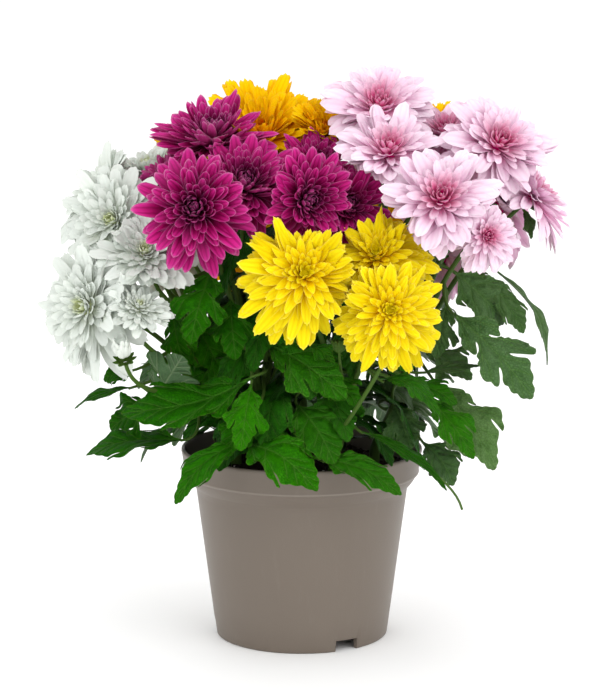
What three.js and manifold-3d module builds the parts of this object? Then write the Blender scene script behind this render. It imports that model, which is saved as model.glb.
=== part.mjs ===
// Potted chrysanthemum: five plants of five colours in one plastic nursery pot.
// Millimetres, +Z up. The origin is on the pot's axis at the level it stands on, and the front is -Y.
import * as THREE from 'three';
import { mergeVertices } from 'three/addons/utils/BufferGeometryUtils.js';
import Module from 'manifold-3d';

const wasm = await Module();
wasm.setup();

// Pot: a 14 cm nursery pot, whose size sets the scale of everything
const POT_HEIGHT = 111;
const RIM_RADIUS = 70;
const RIM_ROUND = 0.8;
const COLLAR_HEIGHT = 14.5;
const COLLAR_FOOT_RADIUS = 68.1;
const SHOULDER_DROP = 8.5;
const NECK_RADIUS = 61.6;
const FOOT_RADIUS = 50;
const FOOT_ROUND = 1.2;
const WALL = 1.6;
const FLOOR_RISE = 7;
const FLOOR_THICKNESS = 1.6;
const POT_SIDES = 28;
const NOTCH_COUNT = 3;
const NOTCH_WIDTH = 14;
const NOTCH_TURN = 31;
const DRAIN_RADIUS = 3.5;
const DRAIN_CIRCLE = 34;
const DRAIN_SIDES = 6;

// Soil: fills the pot to a little under the rim
const SOIL_EDGE_LEVEL = 98;
const SOIL_MOUND = 4;
const SOIL_CRUMB = 0.9;
const SOIL_RINGS = [0.8, 0.5, 0.2, 0];
const SOIL_EDGE_DROP = 2;
const SOIL_SIDES = 14;
const SEAT_GAP = 0.3;
const STEM_HOLE_DEPTH = 20;
const STEM_HOLE_SLACK = 0.5;
const STEM_HOLE_SIDES = 8;

// Heads: every bloom is the same growth rule, scaled by its own radius
const BAND_PETALS = 7;
const CORE_RINGS = [
  { radius: 0.17, height: 0 },
  { radius: 0.28, height: 0.1 },
  { radius: 0.24, height: 0.24 },
  { radius: 0.12, height: 0.34 },
];
const PETAL_HALF_WIDTH = 0.25;
const INNER_PETAL_WIDTH = 0.55;
const PETAL_KEEL = 1.5;
const PETAL_MIDDLE = 0.64;
const EARLY_TURN = 0.25;
const LATE_TURN = 0.9;
const OUTER_PETAL_LENGTH = 0.84;
const INNER_PETAL_LENGTH = 0.42;
const RISE_SPREAD = 8;
const LENGTH_SPREAD = 0.08;

// Where heads press together: a head's middle lies a share of its radius in front of its heart, and
// heads further apart than this share of their two radii don't touch
const HEAD_MIDDLE = 0.25;
const HEAD_REACH = 1.15;
const HEAD_CLEARANCE = 0.6;
const CLEARING_PASSES = 4;

// Buds: anything under this radius is still closed
const BUD_RADIUS = 10;
const BUD_SIDES = 8;
const BUD_PROFILE = [[0, 0], [0.6, 0.05], [0.85, 0.7], [0.6, 1.5], [0, 2]];

// Green parts
const BRACT_RADIUS = 6.5;
const BRACT_SHARE = 0.8;
const BRACT_HEIGHT = 5;
const BRACT_OVERLAP = 0.5;
const BASE_STEM_RADIUS = 3.2;
const FORK_RADIUS = 2.4;
const BRANCH_RADIUS = 1.5;
const STEM_SIDES = 6;
const BRANCH_SIDES = 4;
const BASE_STATIONS = [0, 0.5, 1];
const BRANCH_STATIONS = [0, 0.4, 0.75];
const STALK_FEET_APART = 3;
const BRANCH_STAGGER = 0.35;
const BRANCH_START = 0.25;
const BRANCH_LIFT = 0.15;
const BRANCH_END = 0.35;
const BASE_CLEAR_OF_SOIL = 3;
const BASE_UPRIGHT = 0.35;
const STALK_HALF_WIDTH = 1.2;
const SHORTEST_STALK = 12;
const STALK_ELBOW = 5;
const STRAIGHT_STALK = 0.5;
const LEAF_THICKNESS = 1.0;
const DEGREE = Math.PI / 180;

// How each colour holds its petals, in degrees above the head's own plane: the outermost petal's
// root angle and its turn towards the tip, then the innermost petal's
const HABITS = {
  white: { outer: 0, outerTurn: -26, inner: 66, innerTurn: 18, colour: 0xe9ebe6 },
  magenta: { outer: 4, outerTurn: -16, inner: 66, innerTurn: 22, colour: 0xb01070 },
  orange: { outer: 14, outerTurn: -14, inner: 70, innerTurn: 16, colour: 0xfba40a },
  pink: { outer: 2, outerTurn: -34, inner: 62, innerTurn: 14, colour: 0xf0c4dc },
  yellow: { outer: 4, outerTurn: -38, inner: 64, innerTurn: 14, colour: 0xf9dd05 },
};

// A head: the point where it sits on its stem, the way it faces (degrees round from the front towards
// +X, and degrees above level) and its radius
const head = (name, heart, turn, rise, radius) => ({ name, heart, turn, rise, radius });

const HEADS = {
  white: [
    head('white_low', [-114, -53, 200], -28, 2, 33),
    head('white_left', [-107, -34, 246], -20, 15, 30),
    head('white_upper', [-113, 8, 258], -60, 55, 28),
    head('white_top', [-88, 24, 266], 160, 62, 27),
    head('white_middle', [-88, -56, 229], -8, 42, 28),
    head('white_small', [-90, -72, 203], 20, 50, 18),
    head('white_rear', [-108, 52, 226], -115, 25, 29),
    head('white_rear_low', [-74, 80, 214], -145, 15, 28),
    head('white_bud', [-96, -73, 177], -25, 50, 6),
  ],
  magenta: [
    head('magenta_front', [-58, -74, 259], -4, 14, 33),
    head('magenta_top', [-50, -16, 292], -5, 74, 36),
    head('magenta_middle', [-31, -46, 269], 14, 50, 31),
    head('magenta_right', [-2, -64, 264], 15, 5, 30),
    head('magenta_back', [8, -18, 274], 25, 60, 26),
    head('magenta_far', [24, -46, 256], 12, 22, 27),
    head('magenta_hidden', [-76, -16, 266], -110, 35, 24),
  ],
  orange: [
    head('orange_main', [-19, 19, 292], -10, 48, 36),
    head('orange_right', [12, 12, 296], 30, 78, 18),
    head('orange_crown', [22, 44, 288], 0, 70, 24),
    head('orange_far', [82, 56, 286], 20, 70, 28),
    head('orange_rear_left', [-58, 56, 266], -150, 50, 31),
    head('orange_rear', [-14, 70, 258], 178, 36, 33),
    head('orange_rear_low', [-24, 90, 206], -172, 5, 30),
    head('orange_rear_right', [34, 84, 228], 160, 20, 31),
  ],
  pink: [
    head('pink_top', [44, 4, 301], 0, 44, 32),
    head('pink_second', [48, -34, 283], 4, 52, 31),
    head('pink_front', [76, -64, 261], 2, 34, 34),
    head('pink_low', [100, -64, 238], 18, 8, 24),
    head('pink_right', [112, -20, 284], 25, 36, 34),
    head('pink_side', [126, -18, 246], 88, 4, 27),
    head('pink_behind', [84, 8, 288], -20, 58, 28),
    head('pink_rear', [52, 76, 254], 152, 40, 28),
    head('pink_rear_side', [114, 38, 244], 115, 22, 31),
    head('pink_rear_low', [82, 76, 212], 138, 12, 30),
  ],
  yellow: [
    head('yellow_main', [1, -86, 225], 4, 24, 35),
    head('yellow_right', [46, -88, 205], 8, 12, 32),
    head('yellow_upper', [42, -64, 230], -18, 44, 31),
  ],
};

// A plant: where it stands in the soil and where its stem forks
const PLANTS = {
  white: { root: [-38, -4], fork: [-52, -10, 142] },
  magenta: { root: [-16, -30], fork: [-24, -32, 140] },
  yellow: { root: [18, -34], fork: [24, -40, 136] },
  pink: { root: [42, -4], fork: [54, -8, 142] },
  orange: { root: [2, 34], fork: [0, 40, 142] },
};

// A leaf: where its blade starts, where it ends, which way its upper face looks (degrees round from
// the front, and above level), its full width and how far it arches, as a share of its length
const leaf = (start, tip, turn, rise, width, arch) => ({ start, tip, turn, rise, width, arch });

const LEAVES = {
  white: [
    leaf([-83, -44, 148], [-65, -52, 174], 172, 20, 29, 0.02),
    leaf([-80, -36, 144], [-109, -38, 129], -30, 50, 25, 0.08),
    leaf([-65, -36, 124], [-124, -28, 120], -20, 78, 24, 0.06),
    leaf([-95, -26, 151], [-131, -22, 140], -20, 60, 8, 0.06),
    leaf([-95, -22, 160], [-114, -20, 155], -20, 40, 13, 0.06),
    leaf([-73, -36, 198], [-66, -48, 165], -20, 10, 17, 0.08),
  ],
  magenta: [
    leaf([-28, -58, 161], [-100, -66, 145], -10, 58, 34, 0.10),
    leaf([-28, -62, 159], [-31, -82, 128], -5, 32, 22, 0.10),
    leaf([-31, -60, 126], [-70, -80, 98], -20, 50, 24, 0.14),
    leaf([-33, -58, 124], [8, -90, 108], 10, 46, 27, 0.16),
    leaf([-50, -50, 224], [-60, -70, 184], -8, 18, 28, 0.10),
    leaf([-40, -44, 204], [-38, -64, 176], -6, 24, 24, 0.08),
  ],
  yellow: [
    leaf([9, -64, 117], [54, -88, 106], 6, 52, 18, 0.10),
    leaf([-4, -48, 145], [20, -76, 121], 6, 36, 30, 0.08),
    leaf([-22, -44, 178], [22, -76, 158], 8, 36, 33, 0.08),
    leaf([69, -46, 151], [98, -68, 119], 8, 32, 22, 0.10),
    leaf([42, -70, 164], [76, -90, 148], 16, 62, 16, 0.20),
    leaf([56, -52, 159], [87, -60, 149], 10, 46, 16, 0.10),
    leaf([31, -60, 133], [82, -80, 107], 14, 56, 9, 0.08),
    leaf([3, -78, 185], [18, -88, 177], 0, 50, 11, 0.10),
    leaf([9, -52, 166], [32, -68, 148], 8, 28, 18, 0.08),
    leaf([40, -50, 188], [62, -66, 168], 20, 34, 22, 0.08),
  ],
  pink: [
    leaf([83, -42, 200], [126, -62, 150], 14, 30, 46, 0.08),
    leaf([82, -34, 201], [74, -48, 172], 0, 20, 20, 0.08),
    leaf([90, -16, 213], [112, -12, 197], 190, 20, 18, 0.02),
    leaf([108, -8, 217], [145, -16, 164], 75, 30, 28, 0.10),
    leaf([81, -30, 156], [109, -48, 109], 20, 32, 36, 0.10),
    leaf([52, -34, 143], [62, -50, 120], 0, 20, 24, 0.08),
    leaf([70, -28, 120], [83, -36, 101], 30, 24, 16, 0.10),
    leaf([66, -28, 176], [98, -40, 160], 25, 40, 26, 0.08),
  ],
  orange: [],
};

// Leaves round the back stand in tiers: height of the start and of the tip, and how far out each is
const BACK_TIERS = [
  { count: 6, startHeight: 130, tipHeight: 102, startOut: 50, tipOut: 98, from: 112, to: 262 },
  { count: 4, startHeight: 164, tipHeight: 140, startOut: 54, tipOut: 104, from: 118, to: 250 },
  { count: 4, startHeight: 194, tipHeight: 176, startOut: 56, tipOut: 102, from: 106, to: 256 },
];
const BACK_LEAF_WIDTH = 34;
const BACK_LEAF_ARCH = 0.12;
const BACK_LEAF_RISE = 58;
const WHITE_SIDE = 222;
const PINK_SIDE = 142;

// Half of a leaf's outline: share of its length from the stalk, and share of its half width
const LEAF_EDGE = [
  [0.0, 0.08], [0.27, 0.64], [0.38, 0.3], [0.5, 1.0], [0.62, 0.86], [0.64, 0.34],
  [0.82, 0.62], [0.94, 0.24],
];
const LEAF_RIB = [0.3, 0.65];
const LEAF_FOLD = 0.16;

// Draws from a seed, so that each plant grows the same way every time
function seededDraws(seed) {
  let state = seed;
  return () => {
    state = (state * 1664525 + 1013904223) % 4294967296;
    return state / 4294967296;
  };
}

// The direction that is turned round from the front and raised above level
function facing(turn, rise) {
  const flat = Math.cos(rise * DEGREE);
  return new THREE.Vector3(
    Math.sin(turn * DEGREE) * flat,
    -Math.cos(turn * DEGREE) * flat,
    Math.sin(rise * DEGREE),
  );
}

const vector = (triple) => new THREE.Vector3(...triple);
const blend = (from, to, share) => from + (to - from) * share;

// A closed three.js geometry as a solid, and back
function solidOf(geometry) {
  const bare = geometry.clone();
  bare.deleteAttribute('normal');
  bare.deleteAttribute('uv');
  const merged = mergeVertices(bare, 1e-4);
  return new wasm.Manifold(new wasm.Mesh({
    numProp: 3,
    vertProperties: new Float32Array(merged.attributes.position.array),
    triVerts: new Uint32Array(merged.index.array),
  }));
}

function geometryOf(solid) {
  const { vertProperties, triVerts } = solid.getMesh();
  const geometry = new THREE.BufferGeometry();
  geometry.setAttribute('position', new THREE.BufferAttribute(new Float32Array(vertProperties), 3));
  geometry.setIndex(Array.from(triVerts));
  geometry.computeVertexNormals();
  return geometry;
}

function solidFromFaces(points, faces) {
  const geometry = new THREE.BufferGeometry();
  const flat = points.flatMap((point) => [point.x, point.y, point.z]);
  geometry.setAttribute('position', new THREE.Float32BufferAttribute(flat, 3));
  geometry.setIndex(faces.flat());
  return solidOf(geometry);
}

function joined(solids) {
  return solids.reduce((whole, solid) => whole.add(solid));
}

// A lathe profile of radius and height pairs, turned about +Z
function turned(profile, sides) {
  const points = profile.map(([radius, height]) => new THREE.Vector2(radius, height));
  const geometry = new THREE.LatheGeometry(points, sides);
  geometry.rotateX(Math.PI / 2);
  return geometry;
}

function upright(radius, bottom, top, sides) {
  const geometry = new THREE.CylinderGeometry(radius, radius, top - bottom, sides);
  geometry.rotateX(Math.PI / 2);
  geometry.translate(0, 0, (top + bottom) / 2);
  return geometry;
}

// Radius of the pot's outside wall under the collar
function bodyRadius(height) {
  const neckHeight = POT_HEIGHT - COLLAR_HEIGHT - SHOULDER_DROP;
  return blend(FOOT_RADIUS, NECK_RADIUS, height / neckHeight);
}

// Pot: tapered wall, rolled collar on a sloping shoulder, raised floor with drain holes, notched foot
function potGeometry() {
  const collarFoot = POT_HEIGHT - COLLAR_HEIGHT;
  const neck = collarFoot - SHOULDER_DROP;
  const floorTop = FLOOR_RISE + FLOOR_THICKNESS;
  const profile = [
    [0, FLOOR_RISE],
    [bodyRadius(FLOOR_RISE) - WALL, FLOOR_RISE],
    [FOOT_RADIUS - FOOT_ROUND - WALL, 0],
    [FOOT_RADIUS - FOOT_ROUND, 0],
    [bodyRadius(FOOT_ROUND), FOOT_ROUND],
    [NECK_RADIUS, neck],
    [blend(NECK_RADIUS, COLLAR_FOOT_RADIUS, 0.3), blend(neck, collarFoot, 0.2)],
    [blend(NECK_RADIUS, COLLAR_FOOT_RADIUS, 0.85), blend(neck, collarFoot, 0.7)],
    [COLLAR_FOOT_RADIUS, collarFoot],
    [RIM_RADIUS, POT_HEIGHT - RIM_ROUND],
    [RIM_RADIUS - RIM_ROUND, POT_HEIGHT],
    [RIM_RADIUS - WALL, POT_HEIGHT],
    [COLLAR_FOOT_RADIUS - WALL, collarFoot],
    [NECK_RADIUS - WALL, neck],
    [bodyRadius(floorTop) - WALL, floorTop],
    [0, floorTop],
  ];
  let solid = solidOf(turned(profile, POT_SIDES));
  for (let notch = 0; notch < NOTCH_COUNT; notch += 1) {
    const angle = (NOTCH_TURN + (notch / NOTCH_COUNT) * 360) * DEGREE;
    const cutter = new THREE.BoxGeometry(NOTCH_WIDTH, 6 * WALL, 2 * (FLOOR_RISE - SEAT_GAP));
    cutter.translate(0, -FOOT_RADIUS, 0);
    cutter.rotateZ(angle);
    solid = solid.subtract(solidOf(cutter));
    const drain = upright(DRAIN_RADIUS, 0, 2 * floorTop, DRAIN_SIDES);
    drain.translate(0, -DRAIN_CIRCLE, 0);
    drain.rotateZ(angle);
    solid = solid.subtract(solidOf(drain));
  }
  return geometryOf(solid);
}

// Soil: a plug that fills the pot, crumbly on top, with a plain hole for each plant
function soilHeight(x, y) {
  const out = Math.hypot(x, y) / NECK_RADIUS;
  const crumbs = Math.sin(x * 0.31 + 1) * Math.cos(y * 0.27) + Math.sin((x - y) * 0.19);
  return SOIL_EDGE_LEVEL + SOIL_MOUND * (1 - out * out) + crumbs * SOIL_CRUMB;
}

function soilGeometry() {
  const floorTop = FLOOR_RISE + FLOOR_THICKNESS + SEAT_GAP;
  const neck = POT_HEIGHT - COLLAR_HEIGHT - SHOULDER_DROP;
  const slack = WALL + 2 * SEAT_GAP;
  const edge = COLLAR_FOOT_RADIUS - slack - 2 * SEAT_GAP;
  const profile = [
    [0, floorTop],
    [bodyRadius(floorTop) - slack, floorTop],
    [NECK_RADIUS - slack, neck],
    [edge, SOIL_EDGE_LEVEL - SOIL_EDGE_DROP],
    ...SOIL_RINGS.map((share) => [share * edge, SOIL_EDGE_LEVEL]),
  ];
  const geometry = turned(profile, SOIL_SIDES);
  const position = geometry.attributes.position;
  for (let i = 0; i < position.count; i += 1) {
    if (position.getZ(i) > SOIL_EDGE_LEVEL - SEAT_GAP) {
      position.setZ(i, soilHeight(position.getX(i), position.getY(i)));
    }
  }
  let solid = solidOf(geometry);
  for (const { root } of Object.values(PLANTS)) {
    const bottom = SOIL_EDGE_LEVEL - STEM_HOLE_DEPTH;
    const hole = upright(BASE_STEM_RADIUS + STEM_HOLE_SLACK, bottom, POT_HEIGHT, STEM_HOLE_SIDES);
    hole.translate(root[0], root[1], 0);
    solid = solid.subtract(solidOf(hole));
  }
  return geometryOf(solid);
}

// The planes that part a head from the heads beside it, so that petals bend where heads press together
const ALL_HEADS = Object.values(HEADS).flat();

function bloomMiddle({ heart, turn, rise, radius }) {
  return vector(heart).addScaledVector(facing(turn, rise), HEAD_MIDDLE * radius);
}

function partings(own) {
  const middle = bloomMiddle(own);
  const planes = [];
  for (const other of ALL_HEADS) {
    const between = bloomMiddle(other).sub(middle);
    const distance = between.length();
    if (other === own || distance > HEAD_REACH * (own.radius + other.radius)) continue;
    const share = own.radius / (own.radius + other.radius);
    planes.push({
      normal: between.clone().divideScalar(distance),
      point: middle.clone().addScaledVector(between, share),
    });
  }
  return planes;
}

// Moves a section of a petal back behind every plane
function keptClear(section, planes) {
  for (let pass = 0; pass < CLEARING_PASSES; pass += 1) {
    for (const { normal, point } of planes) {
      const reach = section.halfWidth * Math.abs(section.across.dot(normal))
        + PETAL_KEEL * Math.abs(section.up.dot(normal));
      const past = section.centre.clone().sub(point).dot(normal) + reach + HEAD_CLEARANCE / 2;
      if (past > 0) section.centre.addScaledVector(normal, -past);
    }
  }
  return section;
}

// The frame of a head: its axis and two directions across it
function headFrame({ turn, rise }) {
  const axis = facing(turn, rise);
  const side = facing(turn + 90, 0);
  const over = axis.clone().cross(side);
  return { axis, side, over };
}

// One petal's middle section and tip, from the centre of its root. Inward is 0 for the outermost
// petals and 1 for the innermost. Two planes along the axis keep it beside its neighbours.
function petalShape(own, habit, root, inward, angle, draw, planes) {
  const { axis, side, over } = headFrame(own);
  const size = own.radius;
  const out = side.clone().multiplyScalar(Math.cos(angle)).addScaledVector(over, Math.sin(angle));
  const across = axis.clone().cross(out);
  const rise = blend(habit.outer, habit.inner, inward) + (draw() - 0.5) * RISE_SPREAD;
  const turn = blend(habit.outerTurn, habit.innerTurn, inward);
  const growth = 1 + LENGTH_SPREAD * (draw() - 0.5);
  const length = size * blend(OUTER_PETAL_LENGTH, INNER_PETAL_LENGTH, inward) * growth;
  const halfWidth = size * PETAL_HALF_WIDTH * blend(1, INNER_PETAL_WIDTH, inward);

  const along = (degrees) => out.clone().multiplyScalar(Math.cos(degrees * DEGREE))
    .addScaledVector(axis, Math.sin(degrees * DEGREE));
  const firstWay = along(rise + EARLY_TURN * turn);
  const secondWay = along(rise + LATE_TURN * turn);
  const middleCentre = root.clone().addScaledVector(firstWay, length * PETAL_MIDDLE);
  const tipPoint = middleCentre.clone().addScaledVector(secondWay, length * (1 - PETAL_MIDDLE));

  const wedge = Math.PI / BAND_PETALS;
  const sides = [1, -1].map((hand) => ({
    normal: across.clone().multiplyScalar(hand * Math.cos(wedge)).addScaledVector(out, -Math.sin(wedge)),
    point: vector(own.heart),
  }));
  const up = secondWay.clone().cross(across);
  const middle = keptClear({ centre: middleCentre, across, halfWidth, up }, [...planes, ...sides]);
  const tip = keptClear({ centre: tipPoint, across, halfWidth: 0, up }, [...planes, ...sides]);
  return [
    middle.centre.clone().addScaledVector(across, -halfWidth),
    middle.centre.clone().addScaledVector(across, halfWidth),
    middle.centre.clone().addScaledVector(up, -PETAL_KEEL),
    tip.centre,
  ];
}

// A bloom: a small core of bands of triangles, with a keeled petal grown out of every second triangle
function bloomGeometry(own, habit, seed) {
  const { axis, side, over } = headFrame(own);
  const heart = vector(own.heart);
  const draw = seededDraws(seed);
  const planes = partings(own);
  const step = (2 * Math.PI) / BAND_PETALS;
  const points = [];
  const faces = [];

  CORE_RINGS.forEach(({ radius, height }, ring) => {
    for (let i = 0; i < BAND_PETALS; i += 1) {
      const angle = (i + 0.5 * ring) * step;
      points.push(heart.clone()
        .addScaledVector(side, radius * own.radius * Math.cos(angle))
        .addScaledVector(over, radius * own.radius * Math.sin(angle))
        .addScaledVector(axis, height * own.radius));
    }
  });
  const corner = (ring, i) => ring * BAND_PETALS + ((i + BAND_PETALS) % BAND_PETALS);
  const bands = CORE_RINGS.length - 1;
  for (let i = 1; i + 1 < BAND_PETALS; i += 1) {
    faces.push([corner(0, 0), corner(0, i + 1), corner(0, i)]);
    faces.push([corner(bands, 0), corner(bands, i), corner(bands, i + 1)]);
  }
  for (let band = 0; band < bands; band += 1) {
    for (let i = 0; i < BAND_PETALS; i += 1) {
      faces.push([corner(band, i), corner(band, i + 1), corner(band + 1, i)]);
      const root = [corner(band + 1, i - 1), corner(band + 1, i), corner(band, i)];
      const rootCentre = new THREE.Vector3();
      root.forEach((index) => rootCentre.addScaledVector(points[index], 1 / 3));
      const angle = (i + 0.5 * band) * step;
      const first = points.length;
      const inward = band / (bands - 1);
      points.push(...petalShape(own, habit, rootCentre, inward, angle, draw, planes));
      for (let edge = 0; edge < 3; edge += 1) {
        const next = (edge + 1) % 3;
        faces.push([root[next], root[edge], first + edge], [root[next], first + edge, first + next]);
        faces.push([first + next, first + edge, first + 3]);
      }
    }
  }
  return geometryOf(solidFromFaces(points, faces));
}

// A branch leaves the base stem towards its head and comes up behind it, along the head's axis
function branchCurve(start, own) {
  const axis = facing(own.turn, own.rise);
  const end = vector(own.heart).addScaledVector(axis, -(BRACT_HEIGHT + SEAT_GAP - BRACT_OVERLAP));
  const reach = start.distanceTo(end);
  const leaving = end.clone().sub(start).multiplyScalar(BRANCH_START);
  leaving.z += BRANCH_LIFT * reach;
  return new THREE.CubicBezierCurve3(
    start,
    start.clone().add(leaving),
    end.clone().addScaledVector(axis, -BRANCH_END * reach),
    end,
  );
}

// A rod through rings, each a centre, the way it faces and a radius
function rodSolid(rings, firstSide, sides) {
  const points = [];
  const faces = [];
  let side = firstSide;
  rings.forEach(({ centre, way, radius }, ring) => {
    side = side.clone().addScaledVector(way, -side.dot(way)).normalize();
    const over = way.clone().cross(side);
    for (let i = 0; i < sides; i += 1) {
      const angle = (i / sides) * 2 * Math.PI;
      points.push(centre.clone()
        .addScaledVector(side, radius * Math.cos(angle))
        .addScaledVector(over, radius * Math.sin(angle)));
      if (ring > 0) {
        const next = (i + 1) % sides;
        const low = (ring - 1) * sides;
        const high = ring * sides;
        faces.push([low + i, low + next, high + i], [low + next, high + next, high + i]);
      }
    }
  });
  const last = (rings.length - 1) * sides;
  for (let i = 1; i + 1 < sides; i += 1) {
    faces.push([0, i + 1, i], [last, last + i, last + i + 1]);
  }
  return solidFromFaces(points, faces);
}

// A branch as one body: a thin rod along its curve that opens into the cup of bracts under its head
function branchSolid(curve, own) {
  const axis = facing(own.turn, own.rise);
  const heart = vector(own.heart);
  const rings = BRANCH_STATIONS.map((share) => ({
    centre: curve.getPoint(share),
    way: curve.getTangent(share),
    radius: BRANCH_RADIUS,
  }));
  const cupRadius = Math.min(BRACT_RADIUS, BRACT_SHARE * own.radius);
  const cup = [
    [BRACT_HEIGHT, BRANCH_RADIUS],
    [0.5 * BRACT_HEIGHT, cupRadius],
    [0, BRACT_SHARE * cupRadius],
  ];
  for (const [below, radius] of cup) {
    rings.push({ centre: heart.clone().addScaledVector(axis, -below - SEAT_GAP), way: axis, radius });
  }
  return rodSolid(rings, facing(own.turn + 90, 0), BRANCH_SIDES);
}

// A plant's base stem: upright in its hole, then leaning over to the fork
function baseCurve({ root, fork }) {
  const ground = new THREE.Vector3(root[0], root[1], SOIL_EDGE_LEVEL + SOIL_MOUND + BASE_CLEAR_OF_SOIL);
  const top = vector(fork);
  const rise = top.z - ground.z;
  return new THREE.CubicBezierCurve3(
    ground,
    ground.clone().add(new THREE.Vector3(0, 0, BASE_UPRIGHT * rise)),
    top.clone().add(new THREE.Vector3(0, 0, -BASE_UPRIGHT * rise)),
    top,
  );
}

function baseSolid(curve, { root }) {
  const up = new THREE.Vector3(0, 0, 1);
  const bottom = SOIL_EDGE_LEVEL - STEM_HOLE_DEPTH + SEAT_GAP;
  const rings = [{ centre: new THREE.Vector3(root[0], root[1], bottom), way: up, radius: BASE_STEM_RADIUS }];
  for (const share of BASE_STATIONS) {
    const radius = blend(BASE_STEM_RADIUS, FORK_RADIUS, share);
    rings.push({ centre: curve.getPoint(share), way: curve.getTangent(share), radius });
  }
  return rodSolid(rings, new THREE.Vector3(1, 0, 0), STEM_SIDES);
}

// Points along the middle of a rod that runs straight from each station of its curve to the next
function rodMiddle(curve, stations) {
  const middle = [];
  for (let i = 1; i < stations.length; i += 1) {
    const from = curve.getPoint(stations[i - 1]);
    const to = curve.getPoint(stations[i]);
    const count = Math.ceil(from.distanceTo(to) / STALK_FEET_APART);
    for (let step = 0; step < count; step += 1) middle.push(from.clone().lerp(to, step / count));
  }
  return middle;
}

// The point on a plant's stems that a leaf's stalk grows from: near the blade, and behind it
function stalkFoot(middles, { start, tip }) {
  const blade = vector(start);
  const along = vector(tip).sub(blade).normalize();
  let best = null;
  let bestScore = Infinity;
  for (const point of middles) {
    const stalk = blade.clone().sub(point);
    const distance = stalk.length();
    if (distance < SHORTEST_STALK) continue;
    const score = distance * (2 - stalk.dot(along) / distance);
    if (score < bestScore) {
      best = point;
      bestScore = score;
    }
  }
  return best;
}

// A leaf and its stalk in one body: the lobed outline in the flat, arched along the rib, folded up from
// the rib, carried back along the stalk into the stem, and thickened by the same triangles on both faces
function leafSolid({ start, tip, turn, rise, width, arch }, foot) {
  const base = vector(start);
  const along = vector(tip).sub(base);
  const length = along.length();
  along.normalize();
  const up = facing(turn, rise);
  up.addScaledVector(along, -up.dot(along)).normalize();
  const across = up.clone().cross(along);

  // Below the blade, x counts the sections of the stalk: an elbow where it turns sharply, then its foot
  const elbow = base.clone().addScaledVector(along, -STALK_ELBOW);
  const stalkTurn = new THREE.Quaternion();
  stalkTurn.setFromUnitVectors(along, elbow.clone().sub(foot).normalize());
  const sharp = along.dot(base.clone().sub(foot).normalize()) < STRAIGHT_STALK;
  const sections = sharp ? [elbow, foot] : [foot];

  const place = ({ x, y }, hand, layer) => {
    if (x < 0) {
      const share = -x / sections.length;
      const bend = new THREE.Quaternion().slerp(stalkTurn, share < 1 ? 0.5 : 1);
      const spot = new THREE.Vector3().addScaledVector(across, hand * y).addScaledVector(up, layer);
      return spot.applyQuaternion(bend).add(sections[-x - 1]);
    }
    const lift = arch * length * Math.sin((x / length) * Math.PI) + LEAF_FOLD * y;
    return base.clone()
      .addScaledVector(along, x)
      .addScaledVector(across, hand * y)
      .addScaledVector(up, lift + layer);
  };

  const rib = [0, ...LEAF_RIB, 1].map((share) => new THREE.Vector2(share * length, 0));
  const edge = LEAF_EDGE.map(([share, out]) => new THREE.Vector2(share * length, out * width / 2));
  const loop = [...edge, ...rib.slice(1).reverse(), rib[0]];
  const halfFaces = THREE.ShapeUtils.triangulateShape(loop, []).map(([a, b, c]) => {
    const corners = [loop[a], loop[b], loop[c]];
    return THREE.ShapeUtils.area(corners) > 0 ? [a, b, c] : [a, c, b];
  });
  const outline = [...edge.keys(), edge.length];
  let ribBefore = loop.length - 1;
  let edgeBefore = 0;
  sections.forEach((_, i) => {
    const ribHere = loop.push(new THREE.Vector2(-1 - i, 0)) - 1;
    const edgeHere = loop.push(new THREE.Vector2(-1 - i, STALK_HALF_WIDTH)) - 1;
    halfFaces.push([ribHere, ribBefore, edgeHere], [ribBefore, edgeBefore, edgeHere]);
    outline.unshift(edgeHere);
    ribBefore = ribHere;
    edgeBefore = edgeHere;
  });
  outline.unshift(ribBefore);

  const points = [];
  const faces = [];
  for (const layer of [LEAF_THICKNESS / 2, -LEAF_THICKNESS / 2]) {
    for (const hand of [1, -1]) {
      const first = points.length;
      points.push(...loop.map((spot) => place(spot, hand, layer)));
      for (const [a, b, c] of halfFaces) {
        const kept = (hand > 0) === (layer > 0);
        faces.push(kept ? [first + a, first + b, first + c] : [first + a, first + c, first + b]);
      }
    }
  }
  const count = loop.length;
  for (const hand of [0, 1]) {
    const top = hand * count;
    const bottom = (2 + hand) * count;
    for (let i = 0; i + 1 < outline.length; i += 1) {
      const [a, b] = hand === 0 ? [outline[i + 1], outline[i]] : [outline[i], outline[i + 1]];
      faces.push([top + a, bottom + a, top + b], [bottom + a, bottom + b, top + b]);
    }
  }
  return solidFromFaces(points, faces);
}

function backLeaves(colour) {
  const leaves = [];
  for (const { count, startHeight, tipHeight, startOut, tipOut, from, to } of BACK_TIERS) {
    for (let i = 0; i < count; i += 1) {
      const turn = blend(from, to, i / (count - 1));
      const owner = turn > WHITE_SIDE ? 'white' : turn < PINK_SIDE ? 'pink' : 'orange';
      if (owner !== colour) continue;
      const way = facing(turn, 0);
      const start = [way.x * startOut, way.y * startOut, startHeight];
      const tip = [way.x * tipOut, way.y * tipOut, tipHeight];
      leaves.push(leaf(start, tip, turn, BACK_LEAF_RISE, BACK_LEAF_WIDTH, BACK_LEAF_ARCH));
    }
  }
  return leaves;
}

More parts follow.
